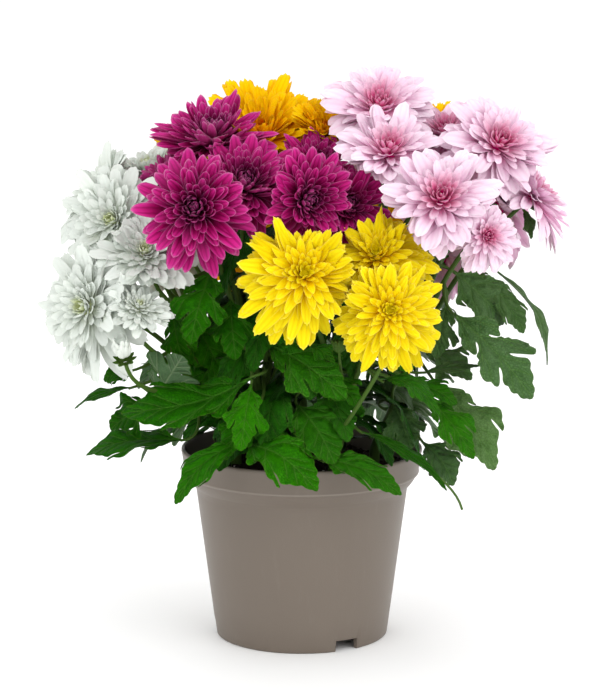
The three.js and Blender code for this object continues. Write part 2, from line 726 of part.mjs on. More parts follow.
// A plant: base stem, branches, bract cups and leaves, grown together
function plantGeometry(colour) {
  const base = baseCurve(PLANTS[colour]);
  const forks = HEADS[colour].length;
  const branches = HEADS[colour].map((own, i) => {
    return branchCurve(base.getPoint(1 - BRANCH_STAGGER * (i / forks)), own);
  });
  const middles = rodMiddle(base, BASE_STATIONS);
  middles.push(...branches.flatMap((curve) => rodMiddle(curve, [...BRANCH_STATIONS, 1])));
  const parts = [baseSolid(base, PLANTS[colour])];
  parts.push(...branches.map((curve, i) => branchSolid(curve, HEADS[colour][i])));
  for (const own of [...LEAVES[colour], ...backLeaves(colour)]) {
    parts.push(leafSolid(own, stalkFoot(middles, own)));
  }
  return geometryOf(joined(parts));
}

// A closed bud: a slim egg of folded petals
function budGeometry(own) {
  const { axis, side, over } = headFrame(own);
  const profile = BUD_PROFILE.map(([radius, height]) => [radius * own.radius, height * own.radius]);
  const egg = turned(profile, BUD_SIDES);
  return egg.applyMatrix4(new THREE.Matrix4().makeBasis(side, over, axis).setPosition(vector(own.heart)));
}

// The scene graph
function named(name, geometry, colour, roughness) {
  const material = new THREE.MeshStandardMaterial({ color: colour, roughness, metalness: 0 });
  const mesh = new THREE.Mesh(geometry, material);
  mesh.name = name;
  return mesh;
}

const chrysanthemum = new THREE.Group();
chrysanthemum.add(named('pot', potGeometry(), 0x80766c, 0.5));
chrysanthemum.add(named('soil', soilGeometry(), 0x2a211a, 1));

let seed = 7;
for (const colour of Object.keys(PLANTS)) {
  chrysanthemum.add(named(`plant_${colour}`, plantGeometry(colour), 0x3a7a2c, 0.6));
  for (const own of HEADS[colour]) {
    const habit = HABITS[colour];
    const geometry = own.radius < BUD_RADIUS ? budGeometry(own) : bloomGeometry(own, habit, seed);
    chrysanthemum.add(named(`bloom_${own.name}`, geometry, habit.colour, 0.7));
    seed += 1;
  }
}

export default chrysanthemum;
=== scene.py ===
# %% [markdown]
# # A potted chrysanthemum
# Five young chrysanthemum plants, each of its own colour, grow together in one taupe nursery pot.
# The fixed frame holds the pot, the soil, five leafy plants and every head as plain solids. This
# lesson replaces them one by one with pieces that have the real petals, leaves, veins and crumbs.

import itertools
import math
import random

import bpy
import numpy as np
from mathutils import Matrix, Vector
from mathutils.geometry import delaunay_2d_cdt


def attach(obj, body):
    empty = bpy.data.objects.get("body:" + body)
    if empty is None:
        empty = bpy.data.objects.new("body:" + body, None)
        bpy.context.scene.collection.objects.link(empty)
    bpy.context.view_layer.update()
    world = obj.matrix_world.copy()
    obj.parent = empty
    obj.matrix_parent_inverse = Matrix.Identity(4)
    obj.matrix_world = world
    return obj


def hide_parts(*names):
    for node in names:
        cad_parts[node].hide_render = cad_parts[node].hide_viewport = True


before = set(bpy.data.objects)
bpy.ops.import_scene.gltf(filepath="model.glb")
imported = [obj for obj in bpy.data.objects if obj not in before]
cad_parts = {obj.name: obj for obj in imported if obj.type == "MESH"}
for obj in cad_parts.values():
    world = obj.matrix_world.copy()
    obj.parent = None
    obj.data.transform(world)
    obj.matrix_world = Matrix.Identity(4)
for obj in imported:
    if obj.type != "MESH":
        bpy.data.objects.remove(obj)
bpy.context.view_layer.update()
MM = 0.001
print("solids in the frame:", len(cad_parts))

# %% [markdown]
# ## Camera
# The photograph was taken from about 1.6 metres away with a long lens, looking down by ten degrees.
# A pinhole camera fitted to the pot's ellipses gives these numbers. The long side of the picture is
# its height, so the lens length follows from the focal length in pixels over the picture's height.

# %% Camera
CAMERA_PLACE = Vector((-1, -1594, 453)) * MM
CAMERA_PITCH = math.radians(10.15)
PICTURE_HEIGHT = 700
FOCAL_PIXELS = 2800
SENSOR_WIDTH = 36

camera = bpy.data.objects.new("camera", bpy.data.cameras.new("camera"))
bpy.context.scene.collection.objects.link(camera)
camera.data.sensor_width = SENSOR_WIDTH
camera.data.lens = SENSOR_WIDTH * FOCAL_PIXELS / PICTURE_HEIGHT
camera.location = CAMERA_PLACE
camera.rotation_euler = (math.pi / 2 - CAMERA_PITCH, 0, 0)
bpy.context.scene.camera = camera
print("lens", round(camera.data.lens), "mm")

# %% [markdown]
# ## Floor and light
# A product picture on white has almost no shadow: a pale floor, a bright room all round, a big soft
# lamp above the right shoulder, a weaker one on the left and a faint one behind. The plain view
# transform keeps the strong petal colours as they are, where a filmic one would fade them.

# %% Floor and light
FLOOR_SIZE = 24.0
ROOM_LIGHT = 1.1
LAMPS = {
    "key_lamp": ((1.4, -1.4, 1.3), 1.8, 15),
    "fill_lamp": ((-1.2, -1.5, 0.9), 1.4, 6),
    "rim_lamp": ((-0.5, 1.3, 1.5), 0.9, 5),
}
LAMP_TARGET = Vector((0, 0, 0.2))


def lamp(name, place, size, power):
    light = bpy.data.lights.new(name, "AREA")
    light.size = size
    light.energy = power
    holder = bpy.data.objects.new(name, light)
    holder.location = place
    aim = LAMP_TARGET - Vector(place)
    holder.rotation_euler = aim.to_track_quat("-Z", "Y").to_euler()
    bpy.context.scene.collection.objects.link(holder)


for lamp_name, (place, size, power) in LAMPS.items():
    lamp(lamp_name, place, size, power)

room = bpy.data.worlds.new("room")
room.use_nodes = True
room.node_tree.nodes["Background"].inputs["Color"].default_value = (1, 1, 1, 1)
room.node_tree.nodes["Background"].inputs["Strength"].default_value = ROOM_LIGHT
bpy.context.scene.world = room
bpy.context.scene.view_settings.view_transform = "Standard"
print("lamps:", len(LAMPS))

# %% [markdown]
# ## Node bench
# Every surface here is a node material, so a small bench of node helpers keeps the recipes short: one
# call adds a node, sets its values and wires its inputs.

# %% Node bench
class Bench:
    """The node tree of one material, with short ways to add what its recipe needs."""

    def __init__(self, name, roughness, **shader_values):
        self.material = bpy.data.materials.new(name)
        self.material.use_nodes = True
        self.nodes = self.material.node_tree.nodes
        self.links = self.material.node_tree.links
        self.shader = self.nodes["Principled BSDF"]
        self.shader.inputs["Roughness"].default_value = roughness
        for socket, value in shader_values.items():
            self.shader.inputs[socket.replace("_", " ")].default_value = value

    def feed(self, socket, source):
        if isinstance(source, bpy.types.NodeSocket):
            self.links.new(source, socket)
        elif source is not None:
            socket.default_value = source

    def place(self, name):
        """A named triple of numbers stored on the points, split into its three parts."""
        stored = self.nodes.new("ShaderNodeAttribute")
        stored.attribute_name = name
        return stored.outputs["Vector"], *self.split(stored.outputs["Vector"])

    def split(self, vector):
        node = self.nodes.new("ShaderNodeSeparateXYZ")
        self.links.new(vector, node.inputs[0])
        return node.outputs[0], node.outputs[1], node.outputs[2]

    def position(self):
        """Where the seen spot lies in the scene, in metres."""
        return self.nodes.new("ShaderNodeNewGeometry").outputs["Position"]

    def math(self, operation, first, second=None, third=None, clamp=False):
        node = self.nodes.new("ShaderNodeMath")
        node.operation = operation
        node.use_clamp = clamp
        for socket, source in zip(node.inputs, (first, second, third)):
            self.feed(socket, source)
        return node.outputs[0]

    def times(self, first, second):
        return self.math("MULTIPLY", first, second)

    def vector(self, operation, first, second=None, scale=None):
        node = self.nodes.new("ShaderNodeVectorMath")
        node.operation = operation
        self.feed(node.inputs[0], first)
        self.feed(node.inputs[1], second)
        if scale is not None:
            self.feed(node.inputs["Scale"], scale)
        return node.outputs["Value" if operation in ("DOT_PRODUCT", "LENGTH") else "Vector"]

    def between(self, value, low, high, from_one=False):
        """A soft step from 0 to 1 as value goes from low to high, or the other way round."""
        node = self.nodes.new("ShaderNodeMapRange")
        node.interpolation_type = "SMOOTHSTEP"
        self.feed(node.inputs["Value"], value)
        self.feed(node.inputs["From Min"], low)
        self.feed(node.inputs["From Max"], high)
        node.inputs["To Min"].default_value = 1 if from_one else 0
        node.inputs["To Max"].default_value = 0 if from_one else 1
        return node.outputs["Result"]

    def mix(self, share, first, second, blend="MIX"):
        node = self.nodes.new("ShaderNodeMix")
        node.data_type = "RGBA"
        node.blend_type = blend
        colours = [socket for socket in node.inputs if socket.type == "RGBA"]
        self.feed(node.inputs["Factor"], share)
        self.feed(colours[0], first)
        self.feed(colours[1], second)
        return next(socket for socket in node.outputs if socket.type == "RGBA")

    def noise(self, where, scale, detail=2, roughness=0.5):
        node = self.nodes.new("ShaderNodeTexNoise")
        self.feed(node.inputs["Vector"], where)
        node.inputs["Scale"].default_value = scale
        node.inputs["Detail"].default_value = detail
        node.inputs["Roughness"].default_value = roughness
        return node.outputs["Fac"]

    def stretched(self, where, stretch):
        node = self.nodes.new("ShaderNodeMapping")
        self.feed(node.inputs["Vector"], where)
        node.inputs["Scale"].default_value = stretch
        return node.outputs[0]

    def finish(self, colour, height=None, depth=0.0, strength=1.0):
        self.feed(self.shader.inputs["Base Color"], colour)
        if height is not None:
            bump = self.nodes.new("ShaderNodeBump")
            bump.inputs["Strength"].default_value = strength
            bump.inputs["Distance"].default_value = depth
            self.links.new(height, bump.inputs["Height"])
            self.links.new(bump.outputs[0], self.shader.inputs["Normal"])
        return self.material


# %% [markdown]
# A colour is noted down as it looks in the photograph, on a scale from 0 to 255. The studio light makes
# a surface look brighter than it is, so the paint helper takes the screen's curve and that gain away
# and gives the share of light that the surface itself reflects.

# %% Paint
STUDIO_GAIN = 1.25


def paint(red, green, blue, gain=STUDIO_GAIN):
    """A colour as it looks in this bright studio, 0 to 255, turned into the share of light it reflects."""
    reflected = []
    for seen in (red, green, blue):
        share = seen / 255
        # Screens show light along this curve, so it is undone here
        light = share / 12.92 if seen <= 10 else ((share + 0.055) / 1.055) ** 2.4
        reflected.append(light / gain)
    return (*reflected, 1.0)


print("white paint reflects", round(paint(255, 255, 255)[0], 2))

# %% [markdown]
# ## Piece maker and heap
# Petals, leaves and crumbs are worked out as arrays of points and faces, which is quick and exact. One
# helper turns such arrays into a piece, with named numbers stored on its points for the material to
# read. A heap gathers many small shapes first, so that a whole head or plant becomes a single piece.

# %% Piece maker
SHARP_ANGLE = math.radians(70)


def make_piece(name, points, faces, material, numbers=None):
    mesh = bpy.data.meshes.new(name)
    mesh.from_pydata((np.asarray(points) * MM).tolist(), [], faces)
    mesh.polygons.foreach_set("use_smooth", np.ones(len(mesh.polygons), bool))
    mesh.set_sharp_from_angle(angle=SHARP_ANGLE)
    for title, values in (numbers or {}).items():
        stored = mesh.attributes.new(title, "FLOAT_VECTOR", "POINT")
        stored.data.foreach_set("vector", np.asarray(values, np.float32).ravel())
    mesh.materials.append(material)
    mesh.update()
    piece = bpy.data.objects.new(name, mesh)
    bpy.context.scene.collection.objects.link(piece)
    return piece


def triangle_count(piece):
    return sum(len(face.vertices) - 2 for face in piece.data.polygons)


# %% Heap
class Heap:
    """Gathers the points, faces and stored numbers of many small shapes into one piece."""

    def __init__(self):
        self.points, self.faces, self.count = [], [], 0
        self.numbers = {}

    def add(self, points, faces, **numbers):
        self.points.append(points)
        self.faces.extend([corner + self.count for corner in face] for face in faces)
        for title, values in numbers.items():
            values = np.broadcast_to(values, (len(points), 3))
            self.numbers.setdefault(title, []).append(values)
        self.count += len(points)

    def piece(self, name, material):
        numbers = {title: np.concatenate(values) for title, values in self.numbers.items()}
        return make_piece(name, np.concatenate(self.points), self.faces, material, numbers)


# %% [markdown]
# The floor is one big flat square. It is a little uneven in tone, as a sheet of white board is.

# %% Floor
FLOOR_TONES = ((0.98, 0.98, 0.98, 1), (0.995, 0.995, 0.995, 1))

floor_paint = Bench("floor_paint", 0.9)
floor_paint.finish(floor_paint.mix(floor_paint.noise(None, 3.0), *FLOOR_TONES))
half = FLOOR_SIZE / 2 / MM
floor = make_piece("floor", [(-half, -half, 0), (half, -half, 0), (half, half, 0), (-half, half, 0)],
                   [(0, 1, 2, 3)], floor_paint.material)
print("floor", FLOOR_SIZE, "m wide")

# %% [markdown]
# ## Pot
# The pot is injection-moulded polypropylene: a tapered wall, a shoulder that slopes out to an upright
# collar, a rolled top edge, and a foot ring with notches that let water out. All of it is round, so
# one profile is swung about the axis. Each notch is made by lifting the foot's lowest rings between
# two pairs of close meridians, which keeps its corners sharp without a boolean. The photograph shows
# one notch and the start of another, which fits three of them, evenly spaced.

# %% Pot sizes and profile
POT_HEIGHT = 111
RIM_RADIUS = 70
RIM_ROLL = 1.1
COLLAR_HEIGHT = 14.5
COLLAR_FOOT_RADIUS = 68.1
COLLAR_FOOT_HEIGHT = POT_HEIGHT - COLLAR_HEIGHT
SHOULDER_DROP = 8.5
NECK_RADIUS = 61.6
NECK_HEIGHT = COLLAR_FOOT_HEIGHT - SHOULDER_DROP
FOOT_RADIUS = 50
FOOT_ROLL = 1.2
WALL = 1.6
FLOOR_RISE = 7
INNER_FLOOR = FLOOR_RISE + WALL
# Points from the foot ring's inside to its lowest edge: radius beyond the foot's own, and height
FOOT_RING = ((-6, FLOOR_RISE), (-2.4, FLOOR_RISE), (-2.6, 3), (-2.8, 0.5), (-2.4, 0), (-FOOT_ROLL, 0))
# Points round the collar's lower edge: radius beyond the collar's foot, and height above it
COLLAR_EDGE = ((-0.1, -0.2), (0.25, 0.4), (0.2, 1.2), (0.1, 2))
SHOULDER_SHARES = (0, 0.15, 0.35, 0.6, 0.85, 0.97)


def pot_profile():
    """Radius and height from the middle of the underside, round the outside, to the inside floor."""
    points = [(0, FLOOR_RISE)] + [(FOOT_RADIUS + out, height) for out, height in FOOT_RING]
    for step in range(1, 4):
        bend = step / 3 * math.pi / 2
        radius = FOOT_RADIUS - FOOT_ROLL + (FOOT_ROLL + 0.1) * math.sin(bend)
        points.append((radius, FOOT_ROLL - FOOT_ROLL * math.cos(bend)))
    for share in np.linspace(0.05, 0.96, 16):
        points.append((FOOT_RADIUS + (NECK_RADIUS - FOOT_RADIUS) * share, NECK_HEIGHT * share))
    for share in SHOULDER_SHARES:
        swell = share + 0.1 * math.sin(share * math.pi)
        radius = NECK_RADIUS + (COLLAR_FOOT_RADIUS - 0.6 - NECK_RADIUS) * swell
        points.append((radius, NECK_HEIGHT + SHOULDER_DROP * share))
    points += [(COLLAR_FOOT_RADIUS + out, COLLAR_FOOT_HEIGHT + up) for out, up in COLLAR_EDGE]
    points += [(RIM_RADIUS - 0.25, POT_HEIGHT - 2.6), (RIM_RADIUS, POT_HEIGHT - 1.8)]
    for step in range(1, 7):
        bend = step / 7 * math.pi
        points.append((RIM_RADIUS - RIM_ROLL + RIM_ROLL * math.cos(bend),
                       POT_HEIGHT - RIM_ROLL + RIM_ROLL * math.sin(bend)))
    points += [(RIM_RADIUS - 2 * RIM_ROLL, POT_HEIGHT - 2)]
    points += [(COLLAR_FOOT_RADIUS - WALL, COLLAR_FOOT_HEIGHT + 1)]
    points += [(COLLAR_FOOT_RADIUS - WALL - 0.5, COLLAR_FOOT_HEIGHT - 0.6)]
    points += [(NECK_RADIUS - WALL, NECK_HEIGHT)]
    points += [(FOOT_RADIUS - 0.6, 16), (FOOT_RADIUS - 1.2, INNER_FLOOR), (0, INNER_FLOOR)]
    return points


print("points in the pot's profile:", len(pot_profile()))

# %% [markdown]
# Meridians run up the pot every two degrees. Where a notch begins or ends, two more stand close
# together: the foot is down at the one and up at the other, so the notch gets an upright side.

# %% Notches and meridians
MERIDIANS = 180
NOTCH_COUNT = 3
NOTCH_HEIGHT = 6.7
NOTCH_TURN = math.radians(31)
NOTCH_PITCH = 2 * math.pi / NOTCH_COUNT
NOTCH_WIDTH = 14
HALF_NOTCH = NOTCH_WIDTH / 2 / FOOT_RADIUS
PAIR_GAP = 0.006
PAIR_CLEARANCE = 0.012
NOTCHED_BEYOND = FOOT_RADIUS - 4


def turn_between(first, second):
    return abs((first - second + math.pi) % (2 * math.pi) - math.pi)


def pot_angles():
    """Meridians all round, with a pair of close ones at each side of each notch."""
    edges = []
    for notch in range(NOTCH_COUNT):
        middle = NOTCH_TURN + notch * NOTCH_PITCH
        for hand in (-1, 1):
            edges += [middle + hand * HALF_NOTCH, middle + hand * (HALF_NOTCH + PAIR_GAP)]
    angles = list(np.arange(MERIDIANS) * 2 * math.pi / MERIDIANS)
    clear = [angle for angle in angles
             if all(turn_between(angle, edge) > PAIR_CLEARANCE for edge in edges)]
    return sorted(angle % (2 * math.pi) for angle in clear + edges)


def in_notch(angle):
    off = (angle - NOTCH_TURN + NOTCH_PITCH / 2) % NOTCH_PITCH - NOTCH_PITCH / 2
    return abs(off) < HALF_NOTCH + 0.001


print("meridians:", len(pot_angles()))


# %% [markdown]
# Every round body here is closed in the same way: a middle point, rings of points, and a last middle
# point. One helper gives the faces for the pot, the soil and the small dome in each head.

# %% Swing a profile
def swung_faces(rings, turns):
    """Faces of a closed round body: a middle point, rings of points, and a last middle point."""
    faces = []
    last = 1 + (rings - 1) * turns
    for i in range(turns):
        j = (i + 1) % turns
        faces.append((0, 1 + i, 1 + j))
        for ring in range(rings - 1):
            low = 1 + ring * turns
            faces.append((low + i, low + turns + i, low + turns + j, low + j))
        faces.append((last + i, last + turns, last + j))
    return faces


def build_pot(material):
    profile, angles = pot_profile(), pot_angles()
    points = [(0, 0, profile[0][1])]
    for radius, height in profile[1:-1]:
        for angle in angles:
            lifted = height < NOTCH_HEIGHT and radius > NOTCHED_BEYOND and in_notch(angle)
            z = NOTCH_HEIGHT if lifted else height
            points.append((radius * math.sin(angle), -radius * math.cos(angle), z))
    points.append((0, 0, profile[-1][1]))
    return make_piece("pot_shell", points, swung_faces(len(profile) - 2, len(angles)), material)


# %% [markdown]
# The plastic is taupe and slightly rough. A moulded pot is never quite even: the flow of the melt
# leaves broad soft clouds, the mould's grain scatters the light, handling leaves faint upright scuffs
# and peat dust clings near the foot. A thin painted highlight also runs along the collar's lower edge,
# where it catches the light. Each of these is one faint layer over the base colour.

# %% Pot plastic
PLASTIC = paint(119, 108, 97)
CLOUDED_PLASTIC = paint(127, 116, 105)
SCUFFED_PLASTIC = paint(132, 122, 112)
PEAT_DUST = paint(95, 82, 70)
PAINTED_EDGE_HIGHLIGHT = paint(160, 150, 140)


def pot_plastic():
    bench = Bench("pot_plastic", 0.42, Specular_IOR_Level=0.35)
    where = bench.position()
    clouds = bench.noise(where, 14, 3)
    scuffs = bench.noise(bench.stretched(where, (60, 60, 9)), 3.2, 4, 0.6)
    colour = bench.mix(clouds, PLASTIC, CLOUDED_PLASTIC)
    colour = bench.mix(bench.times(bench.between(scuffs, 0.55, 0.85), 0.5), colour, SCUFFED_PLASTIC)
    _, _, height = bench.split(where)
    dust = bench.times(bench.between(height, 0.0, 0.02, True), bench.noise(where, 90, 3))
    colour = bench.mix(bench.times(dust, 0.35), colour, PEAT_DUST)
    # Painted highlight: a thin lighter line along the collar's lower edge, where it catches the light
    lip = (COLLAR_FOOT_HEIGHT + 0.3) * MM
    off_lip = bench.math("ABSOLUTE", bench.math("SUBTRACT", height, lip))
    edge_highlight_share = bench.between(off_lip, 0.0002, 0.0009, True)
    colour = bench.mix(bench.times(edge_highlight_share, 0.5), colour, PAINTED_EDGE_HIGHLIGHT)
    grain = bench.noise(where, 1400, 2)
    return bench.finish(colour, grain, 0.00012, 0.5)


pot_shell = build_pot(pot_plastic())
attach(pot_shell, "root")
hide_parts("pot")
print("pot triangles:", triangle_count(pot_shell))

# %% [markdown]
# ## Soil
# Peat potting soil is a dark, loose crumb with a few pale grains of perlite. A disc with a bumpy height
# field makes its surface, a plain drum below it fills the pot, and some hundreds of small crumbs, each
# a squashed and jittered icosahedron, break up the surface where it can be seen.

# %% Soil surface
SOIL_EDGE_LEVEL = 98
SOIL_MOUND = 4
SOIL_RADIUS = 65
SOIL_RINGS, SOIL_TURNS = 22, 72
SOIL_EDGE_DROP = 2.0
# Radius and height of the drum below the surface, which fills the pot to its floor
SOIL_DRUM = ((NECK_RADIUS - 2.4, 86), (FOOT_RADIUS - 1, INNER_FLOOR + 0.4))


def soil_height(x, y):
    out = math.hypot(x, y) / SOIL_RADIUS
    swell = math.sin(x * 0.31 + 1) * math.cos(y * 0.27) + math.sin((x - y) * 0.19)
    fine = math.sin(x * 1.7 + y * 0.9) * math.sin(y * 1.3 - x * 0.4)
    return SOIL_EDGE_LEVEL + SOIL_MOUND * (1 - out * out) + swell * 0.9 + fine * 0.45


def soil_body():
    """The surface, the drum below it and its flat underside."""
    angles = [i / SOIL_TURNS * 2 * math.pi for i in range(SOIL_TURNS)]
    points = [(0, 0, soil_height(0, 0))]
    for ring in range(1, SOIL_RINGS + 1):
        radius = SOIL_RADIUS * ring / SOIL_RINGS
        for angle in angles:
            x, y = radius * math.cos(angle), radius * math.sin(angle)
            points.append((x, y, soil_height(x, y) - (SOIL_EDGE_DROP if ring == SOIL_RINGS else 0)))
    for radius, z in SOIL_DRUM:
        points += [(radius * math.cos(angle), radius * math.sin(angle), z) for angle in angles]
    points.append((0, 0, SOIL_DRUM[-1][1]))
    return np.array(points), swung_faces(SOIL_RINGS + len(SOIL_DRUM), SOIL_TURNS)


print("soil level in the middle:", round(soil_height(0, 0)), "mm")

# %% Crumbs
CRUMB_COUNT = 520
CRUMB_SIZES = (0.7, 2.4)
PERLITE_SHARE = 0.05
PERLITE_SIZE = 0.6
GOLDEN = (1 + math.sqrt(5)) / 2


def icosahedron():
    """Twelve corners one unit from the middle, and the twenty faces between them."""
    corners = []
    for a in (-1, 1):
        for b in (-GOLDEN, GOLDEN):
            corners += [(0, a, b), (a, b, 0), (b, 0, a)]
    corners = np.array(corners) / math.hypot(1, GOLDEN)
    faces = []
    for i, j, k in itertools.combinations(range(12), 3):
        trio = corners[[i, j, k]]
        sides = [np.linalg.norm(trio[m] - trio[m - 1]) for m in range(3)]
        if max(sides) < 1.1:
            outward = np.dot(np.cross(trio[1] - trio[0], trio[2] - trio[0]), trio[0]) > 0
            faces.append((i, j, k) if outward else (i, k, j))
    return corners, faces


CRUMB_CORNERS, CRUMB_FACES = icosahedron()
print("faces of a crumb:", len(CRUMB_FACES))


def crumb(size, draw):
    """The corners of one crumb, each pulled in or out a little."""
    jitter = np.array([draw.uniform(0.7, 1.2) for _ in range(12)])[:, None]
    squash = np.array([draw.uniform(0.7, 1.3), draw.uniform(0.7, 1.3), draw.uniform(0.5, 0.9)])
    return CRUMB_CORNERS * jitter * squash * size


# %% Build the soil
SOIL_SEED = 5


def build_soil(material):
    draw = random.Random(SOIL_SEED)
    heap = Heap()
    heap.add(*soil_body(), crumb_place=(0.5, 0, 0))
    for _ in range(CRUMB_COUNT):
        angle, radius = draw.uniform(0, 2 * math.pi), SOIL_RADIUS * 0.97 * math.sqrt(draw.random())
        x, y = radius * math.cos(angle), radius * math.sin(angle)
        size = draw.uniform(*CRUMB_SIZES)
        perlite = 1.0 if draw.random() < PERLITE_SHARE else 0.0
        shape = crumb(size * (PERLITE_SIZE if perlite else 1), draw)
        shape = shape + np.array([x, y, soil_height(x, y) + 0.2 * size])
        heap.add(shape, CRUMB_FACES, crumb_place=(draw.random(), perlite, 0))
    return heap.piece("soil_crumbs", material)


# %% [markdown]
# Under a noise of grit the peat goes from nearly black to dark brown, each crumb has a tone of its
# own, and one in twenty is a pale grain of perlite.

# %% Soil colours
DARK_PEAT, PALE_PEAT, BROWN_PEAT = paint(22, 15, 10), paint(62, 46, 34), paint(46, 34, 26)
PERLITE = paint(205, 200, 190)


def soil_finish():
    bench = Bench("soil_finish", 0.95, Specular_IOR_Level=0.2)
    _, tone, perlite, _ = bench.place("crumb_place")
    grit = bench.noise(bench.position(), 700, 4, 0.7)
    colour = bench.mix(grit, DARK_PEAT, PALE_PEAT)
    colour = bench.mix(bench.times(tone, 0.5), colour, BROWN_PEAT)
    colour = bench.mix(perlite, colour, PERLITE)
    return bench.finish(colour, grit, 0.0006)


soil_crumbs = build_soil(soil_finish())
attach(soil_crumbs, "root")
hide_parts("soil")
print("soil triangles:", triangle_count(soil_crumbs))

# %% [markdown]
# ## Heads
# A head is given by the point where it sits on its stem, the way it faces (degrees round from the
# front towards +X, then degrees above level) and its radius, in millimetres. The back heads lie where
# the frame has them. Most of the front ones lie 1 to 8 mm off, and the pink plant's side one 12 mm,
# because fine petals spread in another way than the frame's plain ones, and the photograph decides.

# %% Heads
HEADS = {
    "white": {
        "low": ((-117, -52, 201), -36, 12, 34), "left": ((-104, -36, 247), -20, 18, 31),
        "upper": ((-113, 5, 256), -58, 48, 29), "top": ((-88, 20, 266), -30, 72, 28),
        "middle": ((-86, -57, 230), -6, 42, 29), "small": ((-90, -72, 203), 20, 50, 18),
        "rear": ((-108, 52, 226), -115, 25, 29), "rear_low": ((-74, 80, 214), -145, 15, 28),
        "bud": ((-98, -78, 178), -20, 62, 6),
    },
    "magenta": {
        "front": ((-58, -74, 259), -4, 14, 33), "top": ((-50, -16, 288), -5, 70, 36),
        "middle": ((-32, -54, 267), 8, 46, 34), "right": ((2, -64, 263), 22, 6, 30),
        "back": ((8, -18, 274), 25, 60, 26), "far": ((25, -46, 257), 12, 24, 27),
        "hidden": ((-76, -16, 266), -110, 35, 24),
    },
    "orange": {
        "main": ((-23, 19, 286), -8, 52, 37), "right": ((12, 10, 292), 16, 50, 22),
        "crown": ((22, 44, 286), 0, 70, 24), "far": ((82, 56, 286), 20, 70, 28),
        "rear_left": ((-58, 56, 266), -150, 50, 31), "rear": ((-14, 70, 258), 178, 36, 33),
        "rear_low": ((-24, 90, 206), -172, 5, 30), "rear_right": ((34, 84, 228), 160, 20, 31),
    },
    "pink": {
        "top": ((44, 3, 304), 0, 50, 33), "second": ((48, -36, 283), 4, 54, 31),
        "front": ((76, -64, 261), 2, 34, 34), "low": ((101, -66, 243), 16, 12, 20),
        "right": ((109, -20, 286), 22, 38, 34), "side": ((129, -18, 258), 80, 42, 26),
        "behind": ((84, 8, 289), -20, 58, 28), "rear": ((52, 76, 254), 152, 40, 28),
        "rear_side": ((114, 38, 244), 115, 22, 31), "rear_low": ((82, 76, 212), 138, 12, 30),
    },
    "yellow": {
        "main": ((1, -86, 224), 4, 22, 37), "right": ((47, -88, 205), 8, 12, 32),
        "upper": ((42, -66, 230), -12, 36, 33),
    },
}
BUD_LIMIT = 10


def facing(turn, rise):
    flat = math.cos(math.radians(rise))
    turn = math.radians(turn)
    return np.array([math.sin(turn) * flat, -math.cos(turn) * flat, math.sin(math.radians(rise))])


def head_frame(turn, rise):
    """The head's axis and two directions across it."""
    axis = facing(turn, rise)
    side = facing(turn + 90, 0)
    return axis, side, np.cross(axis, side)


ALL_HEADS = [(colour, name, *data) for colour, heads in HEADS.items() for name, data in heads.items()]
print("heads:", len(ALL_HEADS))

# %% [markdown]
# Where two heads press together their petals bend away from each other. A plane stands between each
# pair of neighbours, nearer to the smaller one. A petal that would pass such a plane is raised, step
# by step, until it clears it, which is what the pressure does to the real petals. If raising isn't
# enough, the petal is made shorter as well.

# %% Parting planes
HEAD_MIDDLE = 0.25
HEAD_REACH = 1.1
SAME_HEAD = 0.01


def head_middle(heart, turn, rise, radius):
    return np.array(heart, float) + facing(turn, rise) * HEAD_MIDDLE * radius


def parting_planes(heart, turn, rise, radius):
    middle = head_middle(heart, turn, rise, radius)
    planes = []
    for _, _, other_heart, other_turn, other_rise, other_radius in ALL_HEADS:
        gap = head_middle(other_heart, other_turn, other_rise, other_radius) - middle
        distance = np.linalg.norm(gap)
        if SAME_HEAD < distance < HEAD_REACH * (radius + other_radius):
            planes.append((gap / distance, middle + gap * radius / (radius + other_radius)))
    return planes


print("parting planes:", sum(len(parting_planes(*head)) for _, _, *head in ALL_HEADS))

# %% [markdown]
# ## One petal
# A chrysanthemum petal is a thin strap with two grooves along it and two or three small teeth at its
# tip. Its fine grid has seven columns, so that ridges and grooves fall on the columns, and nine rows.
# Petals deep in a head, or on heads that face away, have a plainer grid. The midline bends as an arc
# that tightens towards the tip, the cross-section is an arc of its own, and a second grid about half
# a millimetre below closes the petal into a thin solid with a shared rim.

# %% Petal grid
GRID_SIZES = {"fine": (9, 7), "plain": (7, 5)}


def closed_grid(rows, columns):
    """Faces of two stacked grids that share their rim, and which points of the lower grid are its own."""
    own = np.full((rows, columns), -1)
    count = rows * columns
    for r in range(1, rows - 1):
        for c in range(1, columns - 1):
            own[r, c] = count
            count += 1
    upper = np.arange(rows * columns).reshape(rows, columns)
    lower = np.where(own < 0, upper, own)
    faces = []
    for r in range(rows - 1):
        for c in range(columns - 1):
            faces.append((upper[r, c], upper[r, c + 1], upper[r + 1, c + 1], upper[r + 1, c]))
            faces.append((lower[r, c], lower[r + 1, c], lower[r + 1, c + 1], lower[r, c + 1]))
    return np.array(faces), own >= 0


GRIDS = {name: (*size, *closed_grid(*size)) for name, size in GRID_SIZES.items()}
print("triangles in a petal:", {name: 2 * len(grid[2]) for name, grid in GRIDS.items()})

# %% Petal midline
MIDLINE_STEPS = np.linspace(0, 1, 25)


def petal_midline(length, rise, turn, curl):
    """Reach, lift and slope along a petal: it starts at rise, turns evenly, and curls at its tip."""
    angle = np.radians(rise + turn * MIDLINE_STEPS ** 1.5 + curl * MIDLINE_STEPS ** 5)
    step = length / (len(MIDLINE_STEPS) - 1)
    middle = (angle[1:] + angle[:-1]) / 2
    reach = np.concatenate([[0], np.cumsum(np.cos(middle)) * step])
    lift = np.concatenate([[0], np.cumsum(np.sin(middle)) * step])
    return reach, lift, angle


# %% [markdown]
# The outline opens from a narrow foot to the widest place and closes again to a blunt or pointed tip.
# The teeth and a slight lean, which differ from petal to petal, come from setting rows back, the last
# ones most. The section is an arc, with grooves and a wave along both margins, and then a twist.

